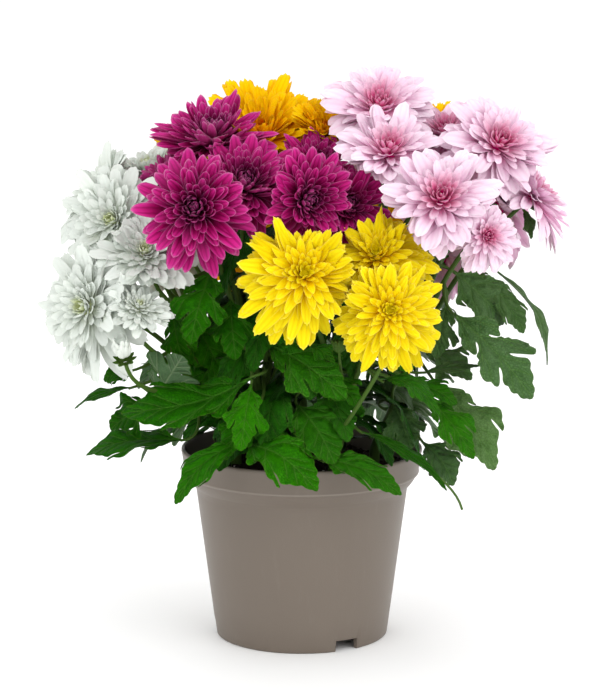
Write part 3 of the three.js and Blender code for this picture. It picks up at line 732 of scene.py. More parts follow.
# %% Petal outline and section
def petal_outline(along, across, length, width, form, draw):
    """Half the width at each row, and how far along the midline each point of the grid lies."""
    widest, foot, tip = form["widest"], form["foot"], form["tip"]
    opening = foot + (1 - foot) * np.sin(np.minimum(along / widest, 1) * math.pi / 2) ** 1.3
    closing = 1 - (1 - tip) * np.clip((along - widest) / (1 - widest), 0, 1) ** 2
    tip_width = width * tip / 2 / length
    blunt = form["round"] * (1 - np.sqrt(1 - (0.97 * across) ** 2)) + form["point"] * np.abs(across)
    teeth = form["teeth"] * (1 - np.cos(3 * math.pi * across)) / 2 * (np.abs(across) < 0.9)
    lean = draw.uniform(-0.3, 0.3) * across
    set_back = tip_width * (blunt + teeth * draw.uniform(0.2, 1.2) + lean)
    return width / 2 * opening * closing, np.clip(along * (1 - set_back), 0, 1)


def petal_section(along, across, half_width, length, width, form, draw):
    """Side and rise of each point over the midline: a cupped arc with grooves, waves and a twist."""
    arc = np.maximum(form["cup"] * (0.65 + 0.35 * np.sin(along * math.pi)), 0.02)
    y = half_width * np.sin(arc * across) / arc
    rise = half_width * (1 - np.cos(arc * across)) / arc
    groove = form["groove"] * width * np.cos(3 * math.pi * across) * np.sin(along * math.pi) ** 0.5
    ripple = np.sin(along * draw.uniform(5, 9) + draw.uniform(0, 6) + across)
    rise = rise + groove + form["wave"] * width * np.abs(across) * ripple * along
    twist = math.radians(form["twist"]) * draw.uniform(-1, 1) * along
    y, rise = y * np.cos(twist) - rise * np.sin(twist), y * np.sin(twist) + rise * np.cos(twist)
    return y + form["sway"] * length * draw.uniform(-1, 1) * along ** 2, rise


# %% Petal points
PETAL_THICKNESS = 0.5
RIM_THICKNESS = 0.08


def petal_points(grid, length, width, midline, form, draw):
    """Upper and lower points of a petal as reach, side and lift, with how far along and across they lie."""
    rows, columns, _, inner = GRIDS[grid]
    along = np.linspace(0, 1, rows)[:, None] ** 0.85 * np.ones((1, columns))
    across = np.linspace(-1, 1, columns)[None, :] * np.ones((rows, 1))
    half_width, place = petal_outline(along, across, length, width, form, draw)
    x, z, slope = (np.interp(place, MIDLINE_STEPS, values) for values in midline)
    y, rise = petal_section(along, across, half_width, length, width, form, draw)
    swell = np.sin(np.clip(along, 0.02, 0.98) * math.pi) ** 0.5
    thickness = PETAL_THICKNESS * swell * (1 - 0.6 * np.abs(across)) + RIM_THICKNESS
    upper = np.stack([x - rise * np.sin(slope), y, z + rise * np.cos(slope)], -1)
    low = rise - thickness
    lower = np.stack([x - low * np.sin(slope), y, z + low * np.cos(slope)], -1)
    points = np.concatenate([upper.reshape(-1, 3), lower[inner]])
    marks = np.stack([along, across], -1)
    marks = np.concatenate([marks.reshape(-1, 2), marks[inner]])
    under = np.concatenate([np.where(inner, 0.0, 0.5).ravel(), np.ones(inner.sum())])
    return points, marks, under


def set_out(local, root, out, across, axis):
    """A petal's own points laid out from its root, with its reach, side and lift along three directions."""
    return root + local[:, :1] * out + local[:, 1:2] * across + local[:, 2:] * axis


print("points in a fine petal:", GRIDS["fine"][3].size + GRIDS["fine"][3].sum())

# %% [markdown]
# ## How each colour holds its petals
# Each colour has a habit of its own. The pairs in it are for the outermost petal and the innermost.
# `rise` is the petal's angle above the head's own plane in degrees, `turn` how far it bends on its way
# out (minus is back towards the stem), `curl` the last bend at the tip, and `cup` how hollow it is.
# Lengths and widths are shares of the head's radius. The single numbers shape every petal: its tip,
# teeth, grooves, waves and twist. `opening` says how late the petals start to stand up on the way to
# the heart, and `ruffle` by how many degrees they stray. A few heads are still half closed, so their
# outer petals stand up by some more degrees, and one is opened wider. Others have longer outer petals.
# The last list says how many millimetres a head's petals may go past the parting planes to its
# neighbours, where that isn't the usual touch: some push in further, some are held back.

# %% Habits
HABITS = {
    "white": dict(rise=(-8, 78), turn=(-18, 16), curl=(-14, 14), length=(0.94, 0.20), width=(0.31, 0.085),
                  cup=(0.35, 0.9), tip=0.86, round=1.1, point=0.25, teeth=0.30, widest=0.66, foot=0.36,
                  groove=0.03, wave=0.12, twist=20, sway=0.09, opening=2.1, petals=168, ruffle=5),
    "magenta": dict(rise=(-8, 82), turn=(-4, 34), curl=(-4, 40), length=(0.92, 0.20), width=(0.31, 0.10),
                    cup=(0.80, 1.3), tip=0.72, round=1.1, point=0.55, teeth=0.0, widest=0.58, foot=0.42,
                    groove=0.03, wave=0.03, twist=16, sway=0.08, opening=1.25, petals=142, ruffle=6),
    "orange": dict(rise=(4, 82), turn=(-10, 16), curl=(-14, 20), length=(1.0, 0.22), width=(0.25, 0.10),
                   cup=(0.60, 1.2), tip=0.84, round=0.8, point=0.2, teeth=0.55, widest=0.60, foot=0.42,
                   groove=0.04, wave=0.04, twist=18, sway=0.10, opening=1.5, petals=146, ruffle=2),
    "pink": dict(rise=(-12, 84), turn=(-16, 10), curl=(-16, 10), length=(0.94, 0.24), width=(0.34, 0.085),
                 cup=(0.65, 1.2), tip=0.84, round=1.15, point=0.40, teeth=0.12, widest=0.66, foot=0.30,
                 groove=0.03, wave=0.04, twist=14, sway=0.08, opening=1.6, petals=136, ruffle=6),
    "yellow": dict(rise=(-14, 74), turn=(-18, 12), curl=(-18, 6), length=(0.95, 0.20), width=(0.26, 0.10),
                   cup=(0.45, 0.8), tip=0.66, round=0.8, point=0.7, teeth=0.35, widest=0.58, foot=0.42,
                   groove=0.05, wave=0.10, twist=22, sway=0.11, opening=2.3, petals=164, ruffle=5),
}
HELD_CLOSED = {"pink_side": 4, "white_small": 26, "orange_main": 16, "orange_right": 18, "magenta_top": -8}
LONGER = {"pink_top": 1.16, "pink_side": 1.2, "pink_behind": 1.2, "orange_main": 1.08, "yellow_right": 1.04,
          "white_low": 1.12, "white_upper": 1.08, "white_left": 1.1}
PUSHES_IN = {"yellow_main": -1, "yellow_upper": 0, "magenta_right": 0, "orange_main": 20,
             "pink_top": 8, "white_low": 8, "pink_behind": 12}
SINGLE_NUMBERS = ("tip", "round", "point", "teeth", "widest", "foot", "groove", "wave", "twist", "sway")
print("petals on a full head:", {colour: habit["petals"] for colour, habit in HABITS.items()})


def pair(values, inward):
    return values[0] + (values[1] - values[0]) * inward


def petal_form(habit, inward):
    form = {key: habit[key] for key in SINGLE_NUMBERS}
    form["cup"] = pair(habit["cup"], inward)
    return form


# %% [markdown]
# ## A whole head
# Petals stand in the golden-angle order that the plant itself follows, from the rim inwards, on a low
# dome. The root circle shrinks and rises as the petals get shorter and more upright. On a head that
# looks sideways the lower petals sag and are longer, and the upper ones stand up. A small dome of the
# heart's colour closes the middle, below the shortest petals.

# %% Clear the parting planes
TOUCH = 3
RAISE_STEP = 8
RAISE_TRIES = 6
SHORTER = (1.0, 0.85, 0.7, 0.55)
OUTER_STEPS = (12, 18, 24)


def past_planes(root, out, axis, midline, planes):
    """How far the outer half of a petal's midline goes past the parting planes."""
    reach, lift, _ = midline
    spots = [root + out * reach[step] + axis * lift[step] for step in OUTER_STEPS]
    return max((np.dot(spot - point, normal) for spot in spots for normal, point in planes), default=-1.0)


def cleared_midline(root, out, axis, length, rise, turn, curl, planes, touch):
    """The midline raised, and then shortened, until it goes no further than touch past a plane."""
    for share in SHORTER:
        for attempt in range(RAISE_TRIES):
            midline = petal_midline(length * share, rise + attempt * RAISE_STEP, turn, curl)
            if past_planes(root, out, axis, midline, planes) < touch:
                return midline, length * share
    return midline, length * share


# %% Dome of the heart
ROOT_RADIUS = 0.2
ROOT_LIFT = 0.2
DOME_WIDTH, DOME_HEIGHT = ROOT_RADIUS + 0.02, ROOT_LIFT + 0.02
DOME_TURNS, DOME_LEVELS = 16, 4


def dome(heart, axis, side, over, radius):
    """A closed low dome that the petals' roots sink into."""
    points = [heart + axis * radius * DOME_HEIGHT]
    for level in range(1, DOME_LEVELS + 1):
        bend = level / DOME_LEVELS * math.pi / 2
        for i in range(DOME_TURNS):
            angle = i / DOME_TURNS * 2 * math.pi
            out = side * math.cos(angle) + over * math.sin(angle)
            points.append(heart + out * radius * DOME_WIDTH * math.sin(bend)
                          + axis * radius * DOME_HEIGHT * math.cos(bend))
    points.append(heart - axis * 0.2)
    return np.array(points), swung_faces(DOME_LEVELS, DOME_TURNS)


print("faces of a dome:", len(swung_faces(DOME_LEVELS, DOME_TURNS)))

# %% [markdown]
# The builder goes through the petals from the rim to the heart. For each it draws where it stands, how
# long, wide and steep it is, clears it from the parting planes, and stores on its points how far
# along, across and inward they lie. Only heads that don't face away have fine outer petals.

# %% Bloom builder
GOLDEN_TURN = math.pi * (3 - math.sqrt(5))
FULL_HEAD_RADIUS = 32
FRONT = facing(0, 10)
TURNED_AWAY = -0.2
FINE_UP_TO = 0.55
STRAY_SHARE = 0.15
SAG = 10
HANG = 0.10
RISE_SPREAD, BEND_SPREAD, CURL_SPREAD = 10, 12, 16


def build_bloom(colour, name, heart, turn, rise, radius, material, seed):
    habit, own = HABITS[colour], f"{colour}_{name}"
    draw = random.Random(seed)
    axis, side, over = head_frame(turn, rise)
    heart = np.array(heart, float)
    planes = parting_planes(heart, turn, rise, radius)
    seen = FRONT @ axis > TURNED_AWAY
    count = int(habit["petals"] * min(1.0, 0.35 + 0.65 * radius / FULL_HEAD_RADIUS))
    heap = Heap()
    start = draw.uniform(0, 2 * math.pi)
    waves = [draw.uniform(0, 2 * math.pi) for _ in range(3)]
    for number in range(count):
        inward = number / (count - 1)
        outward = 1 - inward
        grid = "fine" if seen and inward < FINE_UP_TO else "plain"
        angle = start + number * GOLDEN_TURN + draw.uniform(-0.2, 0.2)
        out = side * math.cos(angle) + over * math.sin(angle)
        across = np.cross(axis, out)
        shrink = math.sqrt(1 - inward * 0.97)
        root = heart + out * radius * ROOT_RADIUS * shrink
        root = root + axis * radius * ROOT_LIFT * (0.05 + inward * 0.95)
        # Length and width, with longer petals low on the rim
        length = radius * pair(habit["length"], inward ** 1.25) * draw.uniform(0.88, 1.07)
        length *= (1 + (LONGER.get(own, 1) - 1) * outward) * (1 - HANG * out[2] * outward)
        length *= 1 + 0.05 * math.sin(2 * angle + waves[0])
        width = radius * pair(habit["width"], inward ** 1.1) * draw.uniform(0.88, 1.12)
        # How steeply it stands: its colour's habit, the head's own opening, sag, ruffle and a few strays
        ruffle = habit["ruffle"] * (math.sin(2 * angle + waves[1]) + 0.7 * math.sin(5 * angle + waves[2]))
        stray = 1 if draw.random() < STRAY_SHARE else 0
        petal_rise = pair(habit["rise"], inward ** habit["opening"]) + HELD_CLOSED.get(own, 0) * outward
        petal_rise += ((SAG * out[2] + ruffle) * outward
                       + draw.uniform(-RISE_SPREAD, RISE_SPREAD) * (1 - 0.5 * inward))
        petal_rise += stray * draw.uniform(-1, 3) * habit["ruffle"] * (1 - 0.6 * inward)
        bend = pair(habit["turn"], inward) + draw.uniform(-BEND_SPREAD, BEND_SPREAD)
        curl = pair(habit["curl"], inward) + draw.uniform(-CURL_SPREAD, CURL_SPREAD)
        midline, length = cleared_midline(root, out, axis, length, petal_rise, bend, curl, planes,
                                          PUSHES_IN.get(own, TOUCH))
        form = petal_form(habit, inward)
        form["twist"] *= 1 + 2 * stray
        local, marks, under = petal_points(grid, length, width, midline, form, draw)
        # What the material reads: along, across and inward, then two chances and the underside
        place = np.column_stack([marks, np.full(len(marks), inward)])
        chances = np.tile([draw.random(), draw.random()], (len(marks), 1))
        heap.add(set_out(local, root, out, across, axis), GRIDS[grid][2], petal_place=place,
                 petal_chance=np.column_stack([chances, under]))
    heap.add(*dome(heart, axis, side, over, radius), petal_place=(0.1, 0, 1), petal_chance=(0.5, 0.5, 0))
    return heap.piece(f"petals_{colour}_{name}", material)


# %% [markdown]
# ## Petal finish
# The colour of a petal changes along it, towards its margin, from the outer petals to the heart, and
# from its face to its reverse. Over the petal's own colours some of it is painted light: the darker foot
# and grooves are painted shade where the petals overlap and hollow, the lighter tip is partly painted
# light, and the pale margin is a painted highlight where the edge catches the light. All of that is
# known for each point, because the builder stored how far along, how far across and how far inward it
# lies. Fine lengthwise veins are noise stretched along the petal. A little light goes through the
# tissue, so each finish has some subsurface scattering. Petals reflect nearly all the light of their own
# colour, so they get a smaller studio gain than the rest.

# %% Petal palettes
# Painted light in these palettes: foot and groove tones carry painted shade, the tip some painted light,
# the margin a painted highlight
PALETTES = {
    "white": dict(foot=(222, 230, 206), middle=(222, 228, 220), tip=(225, 231, 224), heart=(218, 226, 168),
                  heart_from=0.90, margin=(234, 239, 233), groove=(217, 223, 214), reverse=(222, 228, 218),
                  vein=0.08, ribbing=0.2, outer_margin_highlight=0.4, inner_margin_highlight=0.4, relief=0.2, shine=0.03),
    "magenta": dict(foot=(70, 0, 30), middle=(164, 2, 92), tip=(212, 40, 140), heart=(48, 0, 16),
                    heart_from=0.50, margin=(242, 150, 204), groove=(100, 0, 48), reverse=(190, 62, 140),
                    vein=0.40, ribbing=0.42, outer_margin_highlight=0.22, inner_margin_highlight=0.35, relief=0.6, shine=0.08),
    "orange": dict(foot=(255, 142, 0), middle=(255, 200, 0), tip=(255, 213, 8), heart=(230, 70, 4),
                   heart_from=0.84, margin=(255, 220, 50), groove=(255, 174, 0), reverse=(255, 186, 2),
                   vein=0.24, ribbing=0.35, outer_margin_highlight=0.3, inner_margin_highlight=0.3, relief=0.5, shine=0.02),
    "pink": dict(foot=(248, 142, 196), middle=(248, 217, 235), tip=(248, 229, 241), heart=(216, 0, 122),
                 heart_from=0.58, margin=(251, 240, 247), groove=(245, 198, 226), reverse=(244, 194, 224),
                 vein=0.16, ribbing=0.3, outer_margin_highlight=0.7, inner_margin_highlight=0.4, relief=0.35, shine=0.04),
    "yellow": dict(foot=(246, 188, 0), middle=(248, 220, 2), tip=(251, 230, 24), heart=(226, 206, 4),
                   heart_from=0.96, margin=(253, 240, 96), groove=(243, 198, 0), reverse=(247, 213, 8),
                   vein=0.10, ribbing=0.4, outer_margin_highlight=0.5, inner_margin_highlight=0.5, relief=0.5, shine=0.06),
}
print("palettes:", len(PALETTES))

# %% Petal finish
PETAL_GAIN = 1.03
PETAL_GLOW, PETAL_GLOW_DEPTH = 0.15, 0.002
PETAL_SCATTER = (1.0, 0.9, 0.85)


def petal_finish(colour):
    palette = PALETTES[colour]
    tones = {key: paint(*value, PETAL_GAIN) for key, value in palette.items() if isinstance(value, tuple)}
    numbers = {key: value for key, value in palette.items() if key not in tones}
    bench = Bench(f"petal_{colour}", 0.65, Specular_IOR_Level=numbers["shine"],
                  Subsurface_Weight=PETAL_GLOW, Subsurface_Scale=PETAL_GLOW_DEPTH,
                  Subsurface_Radius=PETAL_SCATTER)
    where, along, across, inward = bench.place("petal_place")
    _, chance, second_chance, under = bench.place("petal_chance")
    away = bench.math("ABSOLUTE", across)
    # Painted shade and light: darker towards the foot and lighter at the tip, over the petal's own colour
    shade = bench.mix(bench.between(along, 0.10, 0.62), tones["foot"], tones["middle"])
    shade = bench.mix(bench.between(along, 0.5, 1.0), shade, tones["tip"])
    # Painted shade: the groove tone darkens the grooves along the petal
    ridge = bench.math("COSINE", bench.times(across, 3 * math.pi))
    groove_shade_share = bench.times(bench.between(ridge, -0.9, 0.1, True), numbers["ribbing"])
    shade = bench.mix(groove_shade_share, shade, tones["groove"])
    lines = bench.noise(bench.stretched(where, (1.2, 26, 9)), 1.0, 3, 0.6)
    shade = bench.mix(bench.times(bench.between(lines, 0.42, 0.72), numbers["vein"]), shade,
                      tones["groove"])
    shade = bench.mix(bench.times(under, 0.8), shade, tones["reverse"])
    near_heart = bench.between(inward, numbers["heart_from"], 0.97)
    toward_foot = bench.between(along, 0.45, 1.1, True)
    heart_share = bench.times(near_heart, bench.math("MULTIPLY_ADD", toward_foot, 0.45, 0.55))
    shade = bench.mix(heart_share, shade, tones["heart"])
    # Painted highlight: the pale margin tone along the petal's sides and tip
    edge = bench.math("MAXIMUM", bench.between(away, 0.84, 1.0), bench.between(along, 0.94, 1.0))
    margin_highlight_share = bench.math("MULTIPLY_ADD", bench.between(inward, 0.3, 0.8),
                             numbers["inner_margin_highlight"] - numbers["outer_margin_highlight"], numbers["outer_margin_highlight"])
    edge = bench.times(edge, margin_highlight_share)
    shade = bench.mix(bench.times(edge, bench.between(along, 0.2, 0.6)), shade, tones["margin"])
    light = bench.math("MULTIPLY_ADD", chance, 0.16, 0.92)
    shade = bench.mix(1.0, shade, light, "MULTIPLY")
    warmth = bench.times(bench.between(second_chance, 0.7, 1.0), 0.25)
    shade = bench.mix(warmth, shade, tones["reverse"])
    relief = bench.math("ADD", lines, bench.times(ridge, 0.5))
    return bench.finish(shade, relief, 0.0003, numbers["relief"])


# %% [markdown]
# The white plant also carries a closed bud. Its petals are the same straps, but they start steep and
# bend inwards all the way, so that they wrap an egg and meet at its top.

# %% Bud builder
BUD_PETALS = 21
BUD_LENGTH, BUD_RISE, BUD_BEND = (1.5, 2.25), (48, 64), (62, 38)
BUD_FORM = dict(tip=0.5, round=1.0, point=0.3, teeth=0.0, widest=0.5, foot=0.5, groove=0.03, wave=0.02,
                twist=4, sway=0.02, cup=1.1)


def build_bud(colour, name, heart, turn, rise, radius, material, seed):
    draw = random.Random(seed)
    axis, side, over = head_frame(turn, rise)
    heart = np.array(heart, float)
    heap = Heap()
    for number in range(BUD_PETALS):
        inward = number / (BUD_PETALS - 1)
        angle = number * GOLDEN_TURN
        out = side * math.cos(angle) + over * math.sin(angle)
        across = np.cross(axis, out)
        length = radius * pair(BUD_LENGTH, inward) * draw.uniform(0.95, 1.05)
        midline = petal_midline(length, pair(BUD_RISE, inward), pair(BUD_BEND, inward), 0)
        local, marks, under = petal_points("plain", length, radius * 0.95, midline, BUD_FORM, draw)
        root = heart + out * radius * 0.42 * (1 - 0.6 * inward) + axis * radius * 0.15 * inward
        place = np.column_stack([marks, np.full(len(marks), 0.5 + 0.3 * inward)])
        chance = np.column_stack([np.full((len(marks), 2), draw.random()), under])
        heap.add(set_out(local, root, out, across, axis), GRIDS["plain"][2], petal_place=place,
                 petal_chance=chance)
    return heap.piece(f"petals_{colour}_{name}", material)


# %% [markdown]
# Every head is made with a seed of its own, so that no two are alike and each comes out the same at
# every run.

# %% Make the heads
FIRST_HEAD_SEED = 11

petal_finishes = {colour: petal_finish(colour) for colour in HEADS}
petal_total = 0
for seed, (colour, name, heart, turn, rise, radius) in enumerate(ALL_HEADS, FIRST_HEAD_SEED):
    build = build_bud if radius < BUD_LIMIT else build_bloom
    bloom = build(colour, name, heart, turn, rise, radius, petal_finishes[colour], seed)
    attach(bloom, "root")
    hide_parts(f"bloom_{colour}_{name}")
    petal_total += triangle_count(bloom)
print("petal triangles:", petal_total)

# %% [markdown]
# ## Stems
# Each plant has one base stem that stands upright in the soil and leans over to its fork. From there
# the branches go out to the heads and come up behind them along each head's own axis. A stem is
# green, a little ribbed, and thinner the further out it is. Smooth Bezier curves carry the tubes.

# %% Stem sizes and curves
PLANTS = {
    "white": ((-38, -4), (-52, -10, 142)),
    "magenta": ((-16, -30), (-24, -32, 140)),
    "yellow": ((18, -34), (24, -40, 136)),
    "pink": ((42, -4), (54, -8, 142)),
    "orange": ((2, 34), (0, 40, 142)),
}
STEM_BOTTOM = 79
STEM_CLEAR_OF_SOIL = 3
BASE_STEM_RADIUS = 3.2
FORK_RADIUS = 2.4
BRANCH_RADIUS = 1.4
BRACT_HEIGHT = 5
STEM_SIDES = 12
# A mark in the place of the gap to the leaf's margin, by which the material knows a stem
STEM_MARK = -5


# %% Curves
def bezier(first, second, third, fourth, shares):
    share = np.asarray(shares, float)[:, None]
    rest = 1 - share
    corners = [np.asarray(corner, float) for corner in (first, second, third, fourth)]
    weights = (rest ** 3, 3 * rest ** 2 * share, 3 * rest * share ** 2, share ** 3)
    return sum(weight * corner for weight, corner in zip(weights, corners))


def base_curve(root, fork, shares):
    ground = np.array([*root, SOIL_EDGE_LEVEL + SOIL_MOUND + STEM_CLEAR_OF_SOIL], float)
    upright = np.array([0, 0, 0.35 * (fork[2] - ground[2])])
    return bezier(ground, ground + upright, np.array(fork, float) - upright, fork, shares)


def branch_curve(start, heart, turn, rise, shares):
    axis = facing(turn, rise)
    end = np.array(heart, float) - axis * (BRACT_HEIGHT - 0.2)
    reach = np.linalg.norm(end - start)
    leaving = start + (end - start) * 0.25 + np.array([0, 0, 0.15 * reach])
    return bezier(start, leaving, end - axis * 0.35 * reach, end, shares)


# %% Tubes
def tube(middle, radii, sides=STEM_SIDES, ribs=0.05):
    """Points and faces of a closed tube along a middle line, with a few soft ribs."""
    middle = np.asarray(middle, float)
    ways = np.gradient(middle, axis=0)
    ways /= np.linalg.norm(ways, axis=1)[:, None]
    side = np.cross(ways[0], (0.3, 0.9, 0.2))
    points = []
    for spot, way, radius in zip(middle, ways, radii):
        side = side - way * (side @ way)
        side /= np.linalg.norm(side)
        over = np.cross(way, side)
        for i in range(sides):
            angle = i / sides * 2 * math.pi
            out = radius * (1 + ribs * math.cos(angle * sides / 3))
            points.append(spot + out * (side * math.cos(angle) + over * math.sin(angle)))
    faces = [tuple(reversed(range(sides)))]
    for ring in range(len(middle) - 1):
        low = ring * sides
        for i in range(sides):
            j = (i + 1) % sides
            faces.append((low + i, low + j, low + sides + j, low + sides + i))
    faces.append(tuple(range(len(points) - sides, len(points))))
    return np.array(points), faces


def add_green(heap, points, faces, tone):
    """Adds a stem, stalk or bract to the heap, marked as no part of a blade."""
    heap.add(points, faces, leaf_place=(0, 0, STEM_MARK), leaf_chance=(tone, 0, 1))


print("plants:", len(PLANTS))

# %% [markdown]
# ## Leaf outline
# A chrysanthemum leaf is cut into two pairs of side lobes and a long end lobe, all swept towards the
# tip, and each lobe ends in a few round teeth. The first list holds one half of the outline, from the
# stalk to the tip: shares of the length along the midrib and of half the width beside it. The second
# holds the side veins, and the third the line that the cuts grow out to on a fuller leaf. Each
# pattern moves the outline a little at random, then a spline through its points rounds the teeth.

# %% Leaf outline and veins
HALF_OUTLINE = (
    (0.0, 0.035), (0.06, 0.05), (0.12, 0.11),
    (0.165, 0.24), (0.205, 0.40), (0.24, 0.51), (0.27, 0.525), (0.30, 0.66), (0.355, 0.70), (0.385, 0.62),
    (0.425, 0.60), (0.44, 0.51), (0.415, 0.40), (0.38, 0.30), (0.365, 0.235),
    (0.395, 0.27), (0.43, 0.40), (0.45, 0.57), (0.485, 0.62), (0.50, 0.76), (0.535, 0.80), (0.56, 0.93),
    (0.61, 1.0), (0.655, 0.96), (0.68, 0.85), (0.73, 0.84), (0.755, 0.74), (0.735, 0.62), (0.69, 0.49),
    (0.65, 0.38), (0.625, 0.29),
    (0.66, 0.31), (0.705, 0.41), (0.74, 0.51), (0.785, 0.52), (0.81, 0.44), (0.855, 0.455), (0.885, 0.40),
    (0.90, 0.31), (0.94, 0.30), (0.965, 0.23), (0.975, 0.15), (0.992, 0.10), (1.0, 0.0),
)
SIDE_VEINS = (
    ((0.12, 0.0), (0.36, 0.58)), ((0.22, 0.24), (0.25, 0.46)), ((0.26, 0.34), (0.40, 0.52)),
    ((0.33, 0.0), (0.61, 0.90)), ((0.42, 0.29), (0.47, 0.56)), ((0.48, 0.48), (0.53, 0.74)),
    ((0.46, 0.42), (0.71, 0.76)), ((0.57, 0.0), (0.75, 0.44)), ((0.70, 0.0), (0.86, 0.38)),
    ((0.82, 0.0), (0.95, 0.24)),
)
PATTERN_LENGTH = 70.0
PATTERN_HALF_WIDTH = 16.0
ENVELOPE = (
    (0.0, 0.035), (0.12, 0.11), (0.27, 0.53), (0.355, 0.72), (0.61, 1.02), (0.755, 0.76), (0.79, 0.54),
    (0.90, 0.32), (1.0, 0.0),
)
OUTLINE_SWING = 0.02


# %% Round the outline
def rounded(points, steps):
    """A spline through the points, with a few steps between each two."""
    padded = np.array([points[0], *points, points[-1]])
    line = []
    for i in range(1, len(padded) - 2):
        before, here, there, after = padded[i - 1:i + 3]
        for step in range(steps):
            t = step / steps
            straight = 2 * here + (there - before) * t
            bent = (2 * before - 5 * here + 4 * there - after) * t * t
            line.append((straight + bent + (3 * here - 3 * there + after - before) * t ** 3) / 2)
    return line


def distance_to_veins(spots):
    """Distance from points of the flat pattern to the nearest vein, in the pattern's millimetres."""
    folded = np.column_stack([spots[:, 0], np.abs(spots[:, 1])])
    nearest = folded[:, 1].copy()
    scale = np.array([PATTERN_LENGTH, PATTERN_HALF_WIDTH])
    for vein in SIDE_VEINS:
        start, end = np.array(vein[0]) * scale, np.array(vein[1]) * scale
        way = end - start
        share = np.clip((folded - start) @ way / (way @ way), 0, 1)
        nearest = np.minimum(nearest, np.linalg.norm(folded - start - share[:, None] * way, axis=1))
    return nearest


def leaf_outline(draw, steps, filled):
    """A closed outline; filled is how much of its deep cuts is grown over, 0 to 1."""
    outline = []
    for hand in (1, -1):
        half = []
        first, second = draw.uniform(0, 6.28), draw.uniform(0, 6.28)
        for share, out in HALF_OUTLINE[:-1]:
            swing = OUTLINE_SWING * math.sin(share * 9 + first) * math.sin(share * math.pi)
            grown = out + filled * max(np.interp(share, *zip(*ENVELOPE)) - out, 0)
            y = grown * (1 + 6 * OUTLINE_SWING * math.sin(share * 13 + second)) * PATTERN_HALF_WIDTH
            half.append(np.array([(share + swing) * PATTERN_LENGTH, hand * y]))
        half.append(np.array([PATTERN_LENGTH, 0.0]))
        line = rounded(half, steps)
        outline += line if hand == 1 else [half[-1]] + line[::-1]
    return np.array(outline)[::-1]


print("side veins:", len(SIDE_VEINS))


# %% [markdown]
# To fill the outline with points, two questions are asked of each spot: does it lie inside, and how
# far is it from the rim?

# %% Where a spot lies
def rim_gap(outline, spot):
    """Distance from a spot to the outline."""
    way = np.roll(outline, -1, axis=0) - outline
    offset = spot - outline
    share = np.clip((offset * way).sum(1) / (way ** 2).sum(1), 0, 1)
    return np.linalg.norm(offset - share[:, None] * way, axis=1).min()


def within(outline, spot):
    """True inside the outline: a line from the spot towards the tip crosses it an odd number of times."""
    after = np.roll(outline, -1, axis=0)
    crosses = (outline[:, 1] > spot[1]) != (after[:, 1] > spot[1])
    slope = np.where(crosses, after[:, 1] - outline[:, 1], 1)
    at = outline[:, 0] + (spot[1] - outline[:, 1]) / slope * (after[:, 0] - outline[:, 0])
    return (crosses & (at > spot[0])).sum() % 2 == 1


def well_inside(outline, spots, gap):
    return [spot for spot in spots if within(outline, spot) and rim_gap(outline, np.array(spot)) > gap]


# %% [markdown]
# The flat pattern is filled with triangles: the outline, a second line just inside it for the pale
# margin with its painted highlight, a row of points along the midrib and an even grid of points in
# the middle. A triangle at the tip of a tooth can have all its corners on the rim, where the upper
# and lower face would be the same.
# It gets a middle point of its own. A few such patterns, each a little different, are cut once and
# then bent into every leaf, the way a dressmaker works.

# %% Leaf patterns
MARGIN_WIDTH = 0.9
GRID_JITTER = 0.2


def filling_spots(outline, spacing, draw):
    """Points inside the outline: along the margin, along the midrib and in an even grid."""
    ahead = np.roll(outline, -1, axis=0) - np.roll(outline, 1, axis=0)
    inward = np.column_stack([-ahead[:, 1], ahead[:, 0]])
    margin = outline + inward / np.linalg.norm(inward, axis=1)[:, None] * MARGIN_WIDTH
    grid = []
    for row, y in enumerate(np.arange(-PATTERN_HALF_WIDTH, PATTERN_HALF_WIDTH, spacing * 0.87)):
        for x in np.arange(0, PATTERN_LENGTH, spacing):
            grid.append((x + (row % 2) * spacing / 2 + draw.uniform(-GRID_JITTER, GRID_JITTER),
                         y + draw.uniform(-GRID_JITTER, GRID_JITTER)))
    grid = [spot for spot in grid if abs(spot[1]) > spacing * 0.45]
    rib = [(x, 0.0) for x in np.arange(1.5, PATTERN_LENGTH - 1, spacing * 0.8)]
    return [*well_inside(outline, margin, 0.75), *well_inside(outline, rib, 1.0),
            *well_inside(outline, grid, spacing * 0.62)]


def leaf_pattern(seed, steps, spacing, filled):
    """A flat leaf in triangles: its spots, which have a lower twin, gaps to rim and veins, and faces."""
    draw = random.Random(seed)
    outline = leaf_outline(draw, steps, filled)
    count = len(outline)
    flat = [Vector(spot) for spot in [*outline, *filling_spots(outline, spacing, draw)]]
    edges = [(i, (i + 1) % count) for i in range(count)]
    cut = delaunay_2d_cdt(flat, edges, [list(range(count))], 1, 1e-5)
    spots = np.array([tuple(spot) for spot in cut[0]])
    triangles = np.array([tuple(face) for face in cut[2]])
    own = np.array([rim_gap(outline, spot) > 0.02 for spot in spots])
    # Triangles with all corners on the rim are split round a middle point
    on_rim = ~own[triangles].any(axis=1)
    tips = triangles[on_rim]
    middles = len(spots) + np.arange(len(tips))
    fans = [np.column_stack([tips[:, i], tips[:, (i + 1) % 3], middles]) for i in range(3)]
    triangles = np.concatenate([triangles[~on_rim], *fans])
    spots = np.concatenate([spots, spots[tips].mean(axis=1)])
    own = np.concatenate([own, np.full(len(tips), True)])
    # The lower face is the upper one again, turned over, on twins of the points off the rim
    lower = np.arange(len(spots))
    lower[own] = len(spots) + np.arange(own.sum())
    faces = np.concatenate([triangles, lower[triangles][:, ::-1]])
    gap = np.array([rim_gap(outline, spot) for spot in spots])
    return spots, own, gap, distance_to_veins(spots), faces


